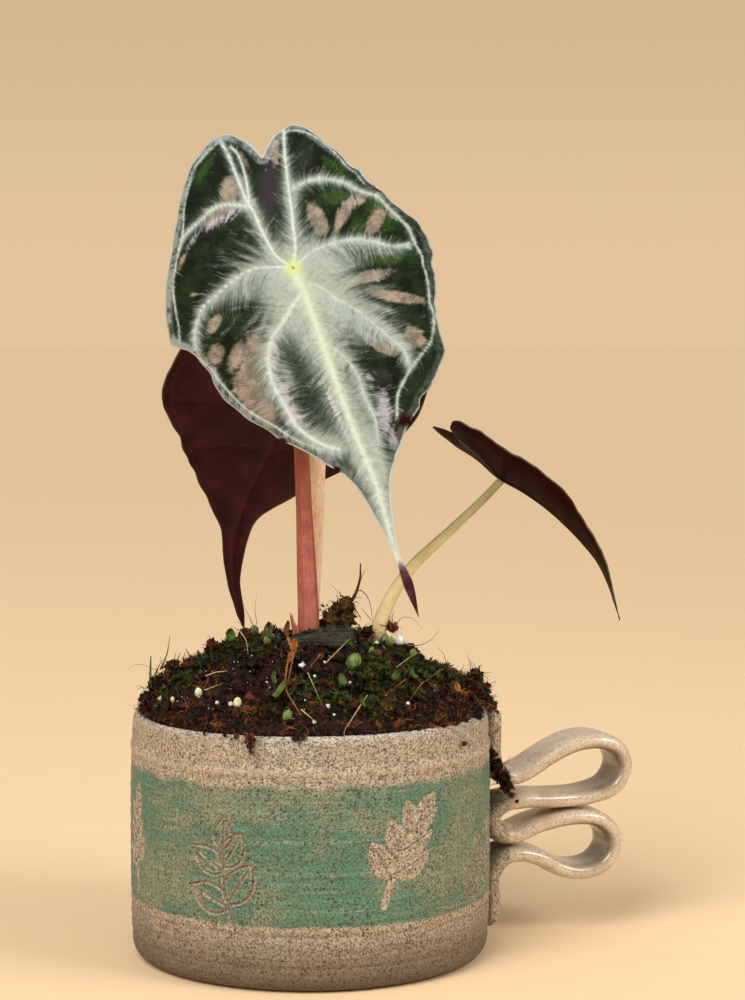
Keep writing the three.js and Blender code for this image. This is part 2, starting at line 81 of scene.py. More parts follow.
def calc(tree, operation, a, b=None, clamp=False):
    node = tree.nodes.new("ShaderNodeMath")
    node.operation = operation
    node.use_clamp = clamp
    feed(tree, node.inputs[0], a)
    feed(tree, node.inputs[1], b)
    return node.outputs[0]


def add(tree, a, b):
    return calc(tree, "ADD", a, b)


def times(tree, a, b):
    return calc(tree, "MULTIPLY", a, b)


# A noise swings about a half: this moves it to swing about zero and sizes it
def centred(tree, value, size=1.0):
    moved = calc(tree, "SUBTRACT", value, 0.5)
    return moved if size == 1.0 else times(tree, moved, size)


# Sum of pairs of value and share
def weighted(tree, *pairs):
    total, *others = [times(tree, value, share) for value, share in pairs]
    for part in others:
        total = add(tree, total, part)
    return total


def blend(tree, share, first, second):
    node = tree.nodes.new("ShaderNodeMix")
    node.data_type = "RGBA"
    feed(tree, node.inputs[0], share)
    feed(tree, node.inputs[6], first)
    feed(tree, node.inputs[7], second)
    return node.outputs[2]


# Coats laid over a colour one after the other: pairs of mask and tone
def layered(tree, colour, *coats):
    for mask, tone in coats:
        colour = blend(tree, mask, colour, tone)
    return colour


def remap(tree, value, low, high, toLow=0.0, toHigh=1.0):
    node = tree.nodes.new("ShaderNodeMapRange")
    node.interpolation_type = "SMOOTHSTEP"
    feed(tree, node.inputs["Value"], value)
    for name, number in (("From Min", low), ("From Max", high), ("To Min", toLow), ("To Max", toHigh)):
        node.inputs[name].default_value = number
    return node.outputs["Result"]


def objectPlace(tree, stretch=(1, 1, 1)):
    coordinates = tree.nodes.new("ShaderNodeTexCoord")
    mapping = tree.nodes.new("ShaderNodeMapping")
    mapping.inputs["Scale"].default_value = stretch
    tree.links.new(coordinates.outputs["Object"], mapping.inputs["Vector"])
    return mapping.outputs["Vector"]


def grain(tree, place, scale, detail=3.0, roughness=0.55, distortion=0.0):
    node = tree.nodes.new("ShaderNodeTexNoise")
    for name, value in (("Vector", place), ("Scale", scale), ("Detail", detail), ("Roughness", roughness),
                        ("Distortion", distortion)):
        feed(tree, node.inputs[name], value)
    return node.outputs["Fac"]


def cells(tree, place, scale, feature="F1"):
    node = tree.nodes.new("ShaderNodeTexVoronoi")
    node.feature = feature
    feed(tree, node.inputs["Vector"], place)
    node.inputs["Scale"].default_value = scale
    return node.outputs


def painted(tree, name, output="Fac"):
    node = tree.nodes.new("ShaderNodeAttribute")
    node.attribute_name = name
    return node.outputs[output]


def split(tree, vector):
    node = tree.nodes.new("ShaderNodeSeparateXYZ")
    feed(tree, node.inputs[0], vector)
    return node.outputs


def join(tree, x, y):
    node = tree.nodes.new("ShaderNodeCombineXYZ")
    feed(tree, node.inputs[0], x)
    feed(tree, node.inputs[1], y)
    return node.outputs[0]


# Distance from the vertical axis, in metres
def axisDistance(tree, place):
    x, y, z = split(tree, place)
    return calc(tree, "SQRT", add(tree, times(tree, x, x), times(tree, y, y)))


# Height above the floor in mm
def heightMm(tree):
    return times(tree, split(tree, objectPlace(tree))[2], 1 / mm)


# What each finish ends with: colour, roughness, gloss, and a relief whose depth is in mm
def dress(tree, shader, colour, roughness, gloss=0.5, height=None, strength=1.0, depth=0.1):
    feed(tree, shader.inputs["Base Color"], colour)
    feed(tree, shader.inputs["Roughness"], roughness)
    shader.inputs["Specular IOR Level"].default_value = gloss
    if height is not None:
        node = tree.nodes.new("ShaderNodeBump")
        node.inputs["Strength"].default_value = strength
        node.inputs["Distance"].default_value = depth * mm
        feed(tree, node.inputs["Height"], height)
        tree.links.new(node.outputs["Normal"], shader.inputs["Normal"])


# Lets some light into thin or juicy pieces
def soften(shader, share, scale):
    shader.inputs["Subsurface Weight"].default_value = share
    shader.inputs["Subsurface Scale"].default_value = scale


def newMaterial(name):
    material = bpy.data.materials.new(name)
    material.use_nodes = True
    tree = material.node_tree
    return material, tree, tree.nodes["Principled BSDF"]


def newGroup(name, inputs, outputs):
    group = bpy.data.node_groups.new(name, "ShaderNodeTree")
    for label, kind, default in inputs:
        socket = group.interface.new_socket(name=label, in_out="INPUT", socket_type=kind)
        socket.default_value = default
    for label, kind in outputs:
        group.interface.new_socket(name=label, in_out="OUTPUT", socket_type=kind)
    return group, group.nodes.new("NodeGroupInput").outputs, group.nodes.new("NodeGroupOutput").inputs


def useGroup(tree, group, **values):
    node = tree.nodes.new("ShaderNodeGroup")
    node.node_tree = group
    for label, value in values.items():
        feed(tree, node.inputs[label], value)
    return node.outputs


# Soft mottling that most of the finishes share
def buildMottle():
    group, given, result = newGroup(
        "mottle",
        [("Scale", "NodeSocketFloat", 200.0), ("Dark", "NodeSocketColor", (0, 0, 0, 1)),
         ("Light", "NodeSocketColor", (1, 1, 1, 1)), ("Contrast", "NodeSocketFloat", 1.0)],
        [("Colour", "NodeSocketColor"), ("Value", "NodeSocketFloat")])
    cloud = grain(group, objectPlace(group), given["Scale"], 5.0, 0.6)
    swing = centred(group, cloud, times(group, given["Contrast"], 3.0))
    value = calc(group, "ADD", swing, 0.5, clamp=True)
    feed(group, result["Colour"], blend(group, value, given["Dark"], given["Light"]))
    feed(group, result["Value"], value)
    return group


# Dark iron specks in the fired clay. Each kind: cells per metre, the chance below which
# a cell stays empty, and how large its speck grows.
speckle = {
    "dust": (1700, 0.15, 0.62), "grit": (1150, 0.3, 0.56), "dark": (560, 0.62, 0.46),
    "large": (110, 0.8, 0.26),
    "groundTone": srgb(84, 70, 51), "fineTone": srgb(60, 50, 38), "darkTone": srgb(44, 34, 26),
    "largeTone": srgb(34, 18, 14),
}


def spots(tree, place, scale, least, gain):
    found = cells(tree, place, scale)
    chance = split(tree, found["Color"])[0]
    size = times(tree, calc(tree, "SUBTRACT", chance, least), gain)
    return remap(tree, calc(tree, "SUBTRACT", size, found["Distance"]), -0.03, 0.06)


def buildSpeckle():
    group, given, result = newGroup(
        "ironSpecks",
        [("Body", "NodeSocketColor", (0.5, 0.5, 0.5, 1)), ("Strength", "NodeSocketFloat", 1.0)],
        [("Colour", "NodeSocketColor"), ("Specks", "NodeSocketFloat")])
    # a fine noise shifts the place, so that the specks aren't round
    still = objectPlace(group)
    wobble = group.nodes.new("ShaderNodeTexNoise")
    wobble.inputs["Scale"].default_value = 1900
    feed(group, wobble.inputs["Vector"], still)
    bent = group.nodes.new("ShaderNodeVectorMath")
    bent.operation = "MULTIPLY_ADD"
    feed(group, bent.inputs[0], wobble.outputs["Color"])
    bent.inputs[1].default_value = (0.5 * mm, 0.5 * mm, 0.5 * mm)
    feed(group, bent.inputs[2], still)
    place = bent.outputs[0]
    density = remap(group, grain(group, place, 120), 0.3, 0.62, 0.6, 1.0)
    dust = times(group, spots(group, place, *speckle["dust"]), 0.8)
    grit = spots(group, place, *speckle["grit"])
    fine = times(group, calc(group, "MAXIMUM", dust, grit), density)
    dark = spots(group, place, *speckle["dark"])
    large = spots(group, place, *speckle["large"])
    gritty = remap(group, grain(group, place, 2100, 3.0, 0.75), 0.44, 0.58, 0.0, 0.8)
    coats = ((gritty, speckle["groundTone"]), (fine, speckle["fineTone"]), (dark, speckle["darkTone"]),
             (large, speckle["largeTone"]))
    coats = [(times(group, mask, given["Strength"]), tone) for mask, tone in coats]
    colour = layered(group, given["Body"], *coats)
    feed(group, result["Colour"], colour)
    feed(group, result["Specks"], calc(group, "MAXIMUM", fine, calc(group, "MAXIMUM", dark, large)))
    return group


# Fine hairs that run off the leaf veins at right angles. Each hair attribute holds the
# distance along one set of veins, the distance from it and how much that set counts.
hairSets = ("hairA", "hairB", "hairC", "hairD")


def buildHairs():
    group, given, result = newGroup(
        "veinHairs",
        [("Along", "NodeSocketFloat", 2.6), ("Across", "NodeSocketFloat", 0.25),
         ("Lean", "NodeSocketFloat", 0.6), ("Sway", "NodeSocketFloat", 5.5)],
        [("Hairs", "NodeSocketFloat"), ("Threads", "NodeSocketFloat"), ("Plume", "NodeSocketFloat")])
    # slow waves let the hairs run in uneven sweeps
    room = objectPlace(group)
    slow = centred(group, grain(group, room, 95, 2.0))
    quick = centred(group, grain(group, room, 330, 2.0), 0.25)
    sway = times(group, add(group, slow, quick), given["Sway"])
    sums = {}
    for setName in hairSets:
        along, across, weight = split(group, painted(group, setName, "Vector"))
        combed = add(group, calc(group, "SUBTRACT", along, times(group, across, given["Lean"])), sway)
        place = join(group, times(group, combed, given["Along"]), times(group, across, given["Across"]))
        for label, scale, detail, distortion in (("Hairs", 1.0, 3.0, 1.1), ("Threads", 2.1, 2.0, 0.7),
                                                 ("Plume", 0.3, 3.0, 1.0)):
            layer = times(group, grain(group, place, scale, detail, 0.6, distortion), weight)
            sums[label] = add(group, sums[label], layer) if label in sums else layer
    for label, value in sums.items():
        feed(group, result[label], value)
    return group


mottle = buildMottle()
ironSpecks = buildSpeckle()
veinHairs = buildHairs()


# Meshes

def readPoints(mesh):
    values = np.empty(len(mesh.vertices) * 3, np.float32)
    mesh.vertices.foreach_get("co", values)
    return values.reshape(-1, 3)


def writePoints(mesh, points):
    mesh.vertices.foreach_set("co", points.astype(np.float32).ravel())


# Values for the points of a mesh, which the materials read by their names
def paintPoints(mesh, layers):
    for label, values in layers.items():
        kind, key = ("FLOAT_VECTOR", "vector") if values.ndim == 2 else ("FLOAT", "value")
        attribute = mesh.attributes.new(label, kind, "POINT")
        attribute.data.foreach_set(key, values.astype(np.float32).ravel())


def finishPiece(name, mesh, materials, node=None, smooth=True):
    for material in materials:
        mesh.materials.append(material)
    mesh.polygons.foreach_set("use_smooth", [smooth] * len(mesh.polygons))
    mesh.update()
    piece = bpy.data.objects.new(name, mesh)
    bpy.context.scene.collection.objects.link(piece)
    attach(piece, "root")
    if node:
        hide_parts(node)
    print("made", name, len(mesh.polygons), "faces")
    return piece


# Gives a sheet its thickness
def thicken(piece, name, thickness, offset=-1):
    wall = piece.modifiers.new(name, "SOLIDIFY")
    wall.thickness = thickness * mm
    wall.offset = offset
    return wall


def meshFrom(bm, name):
    mesh = bpy.data.meshes.new(name)
    bm.to_mesh(mesh)
    bm.free()
    return mesh


# Closes the open ends of a tube
def closeEnds(mesh):
    bm = bmesh.new()
    bm.from_mesh(mesh)
    bmesh.ops.holes_fill(bm, edges=[edge for edge in bm.edges if edge.is_boundary])
    bmesh.ops.recalc_face_normals(bm, faces=bm.faces)
    bm.to_mesh(mesh)
    bm.free()
    return mesh


# A grid drawn over an array of points in mm, row by row, with its seams welded
def mappedGrid(name, points, layers=None, faceTowards=None):
    rows, columns = points.shape[0] - 1, points.shape[1] - 1
    bm = bmesh.new()
    bmesh.ops.create_grid(bm, x_segments=columns, y_segments=rows, size=0.5)
    mesh = bpy.data.meshes.new(name)
    bm.to_mesh(mesh)
    flat = readPoints(mesh)
    column = np.rint((flat[:, 0] + 0.5) * columns).astype(int)
    row = np.rint((flat[:, 1] + 0.5) * rows).astype(int)
    writePoints(mesh, points[row, column] * mm)
    paintPoints(mesh, {label: values[row, column] for label, values in (layers or {}).items()})
    bm.clear()
    bm.from_mesh(mesh)
    bmesh.ops.remove_doubles(bm, verts=bm.verts, dist=1e-6)
    bmesh.ops.recalc_face_normals(bm, faces=bm.faces)
    if faceTowards is not None:
        total = sum((face.normal * face.calc_area() for face in bm.faces), Vector())
        if total.dot(Vector(faceTowards)) < 0:
            bmesh.ops.reverse_faces(bm, faces=bm.faces)
    bm.to_mesh(mesh)
    bm.free()
    return mesh


# Centripetal Catmull-Rom through the points, read at shares from 0 to 1 of their count
def curvePoints(points, shares):
    knots = np.array(points, float)
    ring = np.vstack([2 * knots[0] - knots[1], knots, 2 * knots[-1] - knots[-2]])
    place = np.clip(np.asarray(shares) * (len(knots) - 1), 0, len(knots) - 1 - 1e-9)
    low = place.astype(int)
    t = (place - low)[:, None]
    p0, p1, p2, p3 = ring[low], ring[low + 1], ring[low + 2], ring[low + 3]

    def gap(a, b):
        return np.sqrt(np.maximum(np.linalg.norm(b - a, axis=1), 1e-8))[:, None]

    d0, d1, d2 = gap(p0, p1), gap(p1, p2), gap(p2, p3)
    m1 = ((p1 - p0) / d0 - (p2 - p0) / (d0 + d1) + (p2 - p1) / d1) * d1
    m2 = ((p2 - p1) / d1 - (p3 - p1) / (d1 + d2) + (p3 - p2) / d2) * d1
    return (p1 * (2 * t ** 3 - 3 * t ** 2 + 1) + m1 * (t ** 3 - 2 * t ** 2 + t)
            + p2 * (3 * t ** 2 - 2 * t ** 3) + m2 * (t ** 3 - t ** 2))


# Points spaced evenly by length along the curve through the given ones
def evenPoints(points, count):
    fine = curvePoints(points, np.linspace(0, 1, 400))
    lengths = np.concatenate([[0], np.cumsum(np.linalg.norm(np.diff(fine, axis=0), axis=1))])
    wanted = np.linspace(0, lengths[-1], count)
    return np.stack([np.interp(wanted, lengths, fine[:, axis]) for axis in range(fine.shape[1])], axis=1)


def unit(vectors):
    return vectors / np.linalg.norm(vectors, axis=1)[:, None]


# A tube along a line, whose section is a radius for each angle
def tubeSurface(line, radii, columns, rows, section):
    centres = evenPoints(line, rows + 1)
    radius = np.interp(np.linspace(0, len(radii) - 1, rows + 1), np.arange(len(radii)), radii)
    tangents = unit(np.gradient(centres, axis=0))
    sideways = unit(np.cross(tangents, [0.0, 1.0, 0.0]))
    deep = np.cross(sideways, tangents)
    angle = np.linspace(0, 2 * math.pi, columns + 1)
    width = radius[:, None] * section(angle)[None, :]
    return (centres[:, None, :] + width[:, :, None] * (np.cos(angle)[None, :, None] * sideways[:, None, :]
            + np.sin(angle)[None, :, None] * deep[:, None, :]))


# Many thin strands in one mesh: each strand is a list of points in mm and a radius in mm
def strandMesh(name, strands, sides=0):
    curve = bpy.data.curves.new(name, "CURVE")
    curve.dimensions = "3D"
    curve.bevel_depth = mm
    curve.bevel_resolution = sides
    curve.use_fill_caps = True
    for points, radius in strands:
        spline = curve.splines.new("POLY")
        spline.points.add(len(points) - 1)
        for i, (point, corner) in enumerate(zip(points, spline.points)):
            corner.co = (point[0] * mm, point[1] * mm, point[2] * mm, 1)
            corner.radius = radius * (1 - 0.75 * i / (len(points) - 1))
    holder = bpy.data.objects.new(name + "Curve", curve)
    bpy.context.scene.collection.objects.link(holder)
    mesh = bpy.data.meshes.new_from_object(holder.evaluated_get(bpy.context.evaluated_depsgraph_get()))
    bpy.data.objects.remove(holder)
    mesh.name = name
    return mesh


# Copies of small template meshes, each moved by a matrix, joined into one mesh. Each copy
# gets a random shade, which the materials read.
def scatterMesh(name, templates, places):
    bm = bmesh.new()
    shapes = [readPoints(template) for template in templates]
    for template in templates:
        template.attributes.new("shade", "FLOAT", "POINT")
    shades = random.Random(len(places))
    for which, matrix in places:
        template = templates[which]
        template.attributes["shade"].data.foreach_set("value", [shades.random()] * len(template.vertices))
        writePoints(template, shapes[which])
        template.transform(matrix)
        bm.from_mesh(template)
    for template in templates:
        bpy.data.meshes.remove(template)
    return meshFrom(bm, name)


# Puts a copy at a point in mm. Its size is one number, or one for each axis.
def placeMatrix(point, turn, size):
    sizes = size if isinstance(size, tuple) else (size, size, size)
    turned = Matrix.Translation(Vector(point) * mm) @ Euler(turn).to_matrix().to_4x4()
    return turned @ Matrix.Diagonal((*[each * mm for each in sizes], 1))


# Leaf blades. Each station row holds the left edge, the midrib and the right edge, in mm from
# the joint with the stalk, seen on the upper side with the tip down. First row: the notch
# between the two rear lobes. Last row: the tip. lean, arch and droop bend the flat sheet, seen
# along its "axis"; wave and ripple are the size and number of the waves along the edge.

frontLeaf = {
    "joint": (-3.6, -8, 162.2),
    "lean": 0.3, "arch": 0.0055, "droop": -0.004, "axis": (0.3465, -0.938), "tailFrom": 42,
    "wave": 0.7, "ripple": 24, "quilt": 0.85, "rib": 0.9, "jagged": 0.38, "curl": 0.7,
    "stations": [
        [(-7.5, 26), (-7.5, 26), (-7.5, 26)],
        [(-11, 29.5), (-6, 20), (-4.5, 31.5)],
        [(-17, 31.5), (-4.5, 14.5), (0, 34)],
        [(-24, 25), (-3, 9), (9, 28.5)],
        [(-28.5, 12), (-1.5, 4.5), (19.5, 19)],
        [(-30, -2), (0, 0), (30, 10)],
        [(-28.8, -17), (2.5, -7), (33, -1)],
        [(-23, -20.3), (5.5, -14.5), (33, -11)],
        [(-15.5, -31), (9, -22), (35, -20)],
        [(-4.5, -38.5), (12, -29.5), (29.5, -31)],
        [(6, -43.5), (15, -38.5), (24.5, -40.5)],
        [(13.5, -48.5), (18, -47), (22.5, -48)],
        [(19.6, -57.8), (21.4, -57.2), (23.2, -57.6)],
        [(23.7, -66.2), (24.3, -66), (24.9, -65.8)],
        [(25.4, -71.8), (26.4, -71.4), (27.5, -71)],
        [(29, -79.5), (29, -79.5), (29, -79.5)],
    ],
    "columns": 170, "rows": 216,
    "faceTowards": (0, -1, 0),
}

backLeaf = {
    "joint": (2.5, 25, 143.7),
    "lean": -0.26, "arch": -0.005, "droop": 0.003, "axis": (-0.4175, -0.9087), "tailFrom": 42,
    "wave": 0.6, "ripple": 20, "quilt": 0.28, "rib": 0.22, "jagged": 0.15, "curl": 0.7,
    "stations": [
        [(7.5, 15), (7.5, 15), (7.5, 15)],
        [(10, 22), (6, 12), (4, 23)],
        [(17, 24.5), (4.2, 8.5), (-4, 26.5)],
        [(23.5, 16), (2, 4), (-15, 19.5)],
        [(26.5, 4), (0, 0), (-26.5, 7.5)],
        [(26.5, -8), (-3.5, -7), (-36, -3)],
        [(22, -19.5), (-7, -14), (-39.5, -13)],
        [(13, -27), (-10.5, -21), (-35.5, -23)],
        [(3, -32.5), (-14.5, -29), (-33, -31)],
        [(-7, -38), (-18.5, -37), (-29, -39)],
        [(-16.5, -44), (-21.5, -45), (-25.8, -46)],
        [(-19.8, -52.5), (-22.8, -52.5), (-25.3, -53)],
        [(-21, -60), (-22.7, -60.5), (-24, -61)],
        [(-20, -67.5), (-21, -68), (-21.8, -68.5)],
        [(-20, -72.5), (-20, -72.5), (-20, -72.5)],
    ],
    "columns": 130, "rows": 170, "jointStation": 4 / 14,
    "faceTowards": (0, 1, 0),
}

sideLeaf = {
    "joint": (45.3, 4, 111.9),
    "bulge": 0.4, "wave": 0.35, "ripple": 20, "quilt": 0.2, "rib": 0.2, "jagged": 0.15, "curl": -0.35,
    "stations": [
        [(-10.4, 0, 11), (-10.4, 0, 11), (-10.4, 0, 11)],
        [(-12.0, -4, 13.1), (-8.3, 0, 8.5), (-14, 5, 12.2)],
        [(-11.2, -8, 14.5), (-5.7, 0, 5.8), (-15.8, 10, 12.3)],
        [(-5.9, -11, 12.3), (-3, 0, 3.2), (-9, 14, 9.6)],
        [(0.7, -12, 8.2), (0, 0, 0.8), (-1, 15, 5.2)],
        [(6.6, -12, 4.5), (5, 0, -2), (5.5, 14.5, 1.8)],
        [(12.6, -11, -0.5), (10.5, 0, -5.8), (11.5, 13, -2.6)],
        [(17.2, -9, -5.7), (15.5, 0, -10.2), (16, 10.5, -7.6)],
        [(20.7, -7, -11.2), (20, 0, -14.9), (20, 8, -12.6)],
        [(23.6, -5, -16.3), (23.4, 0, -19.2), (23.3, 5.5, -17.4)],
        [(25.6, -3, -22), (25.8, 0, -24), (25.7, 3, -22.8)],
        [(27.2, -1.2, -28), (27.4, 0, -28.8), (27.2, 1.2, -28.2)],
        [(28.4, 0, -33), (28.4, 0, -33), (28.4, 0, -33)],
    ],
    "columns": 90, "rows": 120, "jointStation": 4 / 12,
    "faceTowards": (0.3, 0, 1),
}

# Veins of the front leaf: points in mm from the joint, how far the silver reaches to the left
# and right of the line as it runs (start, end), how white the line itself is, and its hair set.
frontVeins = {
    "midrib": {
        "points": [(0, 0), (2.6, -5.3), (4.9, -11.3), (7.2, -18.1), (9.5, -24.5), (11.6, -30.1),
                   (14.1, -36.7), (16.3, -42), (18.6, -47.6), (20.8, -54.4), (22.6, -61), (24.1, -66.1)],
        "left": (5.8, 2.8), "right": (5.6, 2.8), "line": 0.75, "thick": 1.5, "set": "hairB"},
    "rearLeft": {
        "points": [(0, 0), (-3.9, 2.7), (-5.7, 5.5), (-7.6, 9.1), (-9.5, 13.3), (-11, 15.6),
                   (-13.4, 21.3), (-15.4, 26.1), (-17.6, 30.2)],
        "left": (2.0, 0.6), "right": (1.8, 0.6), "line": 0.85, "thick": 0.5, "set": "hairC"},
    "rearLeftFork": {
        "points": [(-10.5, 15.1), (-10.7, 17.5), (-11.5, 21.7), (-13.5, 26.9), (-15, 28.3)],
        "left": (0.6, 0.4), "right": (0.9, 0.5), "line": 0.75, "set": "hairD"},
    "rearRight": {
        "points": [(0, 0), (0.5, 4.5), (0, 9.1), (-0.5, 13.7), (-1.2, 18.4), (-1.8, 23), (-2.3, 27.7),
                   (-2.6, 32.8)],
        "left": (2.4, 0.6), "right": (2.6, 0.7), "line": 0.85, "thick": 0.5, "set": "hairB"},
    "upperRight": {
        "points": [(-0.7, 17.9), (1.5, 19.5), (4.2, 20.5), (8, 20.7), (11.2, 20), (14, 18.6), (16.7, 17.4),
                   (19.5, 16.5), (21.7, 14.6), (24.5, 11.9), (26.9, 9.1), (27.8, 6.8)],
        "left": (1.5, 0.5), "right": (1.7, 0.5), "line": 0.5, "thick": 0.6, "set": "hairA"},
    "upperLeft": {
        "points": [(-10, 14.2), (-13.3, 14.7), (-16.1, 14.7), (-18.9, 13.8), (-21.7, 11.5), (-24.5, 9.2),
                   (-26.4, 6.9), (-27.3, 4.6)],
        "left": (1.7, 1.0), "right": (1.3, 0.9), "line": 0.8, "thick": 0.55, "set": "hairB"},
    "leftSecond": {
        "points": [(-0.5, 0), (-4.8, 0.2), (-8.4, 0), (-11.7, -1.4), (-14.9, -3.7), (-18.2, -6.5),
                   (-21, -9.2), (-22.4, -12.9), (-22.8, -16.5), (-22.1, -20.2), (-19.9, -22.9),
                   (-17.1, -26.3)],
        "left": (4.2, 0.9), "right": (1.9, 0.7), "line": 0.8, "set": "hairA"},
    "leftThird": {
        "points": [(2.6, -5.6), (0.3, -8.1), (-2, -12), (-4.6, -15.9), (-5.6, -20.5), (-4.6, -26.2),
                   (-1.8, -31.4), (0.9, -35.9), (4.6, -38.9), (8.2, -40.7), (10.9, -41.2)],
        "left": (4.0, 2.4), "right": (3.8, 1.8), "line": 0.75, "thick": 0.9, "set": "hairC"},
    "rightSecond": {
        "points": [(0.2, 0.2), (1.7, 1.4), (4.4, 3.7), (7.1, 5), (10.8, 6.1), (15.4, 6.6), (19.5, 5.9),
                   (23.2, 5), (26.8, 5.4)],
        "left": (1.8, 0.9), "right": (5.0, 1.1), "line": 0.6, "thick": 0.6, "set": "hairD"},
    "rightThird": {
        "points": [(3.9, -3.5), (6.7, -4.6), (10.4, -7.3), (14.5, -9.6), (18.6, -12.8), (21.7, -15.5),
                   (25.4, -18.6), (26.7, -22.2)],
        "left": (5.2, 1.4), "right": (4.8, 1.4), "line": 0.5, "thick": 0.6, "set": "hairC"},
    "rightFourth": {
        "points": [(8.6, -17.7), (12.1, -20.6), (15, -24.6), (16.8, -29.9), (19, -34.4), (19.6, -39.3)],
        "left": (1.5, 0.8), "right": (1.6, 1.0), "line": 0.5, "set": "hairA"},
    "collectiveRight": {
        "points": [(27.8, 6.8), (29.6, 2.8), (31, -2.3), (31.4, -6.9), (32.3, -12), (31.8, -16.8),
                   (29.5, -20), (26.3, -24.5), (24.2, -29), (24, -33.9)],
        "left": (0.3, 0.5), "right": (0.3, 0.5), "line": 0.5, "set": "hairD"},
    "collectiveLeft": {
        "points": [(-27.3, 4.6), (-27.9, 0), (-28.1, -4.7), (-27.6, -9.2), (-26.8, -13.8), (-26, -17.6)],
        "left": (0.35, 0.3), "right": (0.35, 0.3), "line": 0.6, "set": "hairD"},
    "collectiveLowLeft": {
        "points": [(-17.1, -26.3), (-14.8, -28.6), (-11.5, -32), (-7.3, -34.6), (-2.7, -37.3), (1.1, -39.5),
                   (5.9, -41.2)],
        "left": (0.35, 0.7), "right": (0.35, 0.5), "line": 0.55, "set": "hairD"},
    "collectiveTopLeft": {
        "points": [(-26.5, 6.6), (-26.4, 12.4), (-25.5, 17.1), (-24.2, 21.9), (-21.1, 26.4), (-18.1, 29.4)],
        "left": (0.25, 0.25), "right": (0.25, 0.25), "line": 0.55, "set": "hairD"},
    "collectiveTopRight": {
        "points": [(-2.5, 32.2), (1.3, 32.2), (6.5, 29.7), (10.3, 26.2), (14, 22.4), (16.9, 19.3)],
        "left": (0.25, 0.25), "right": (0.25, 0.25), "line": 0.45, "set": "hairD"},
}

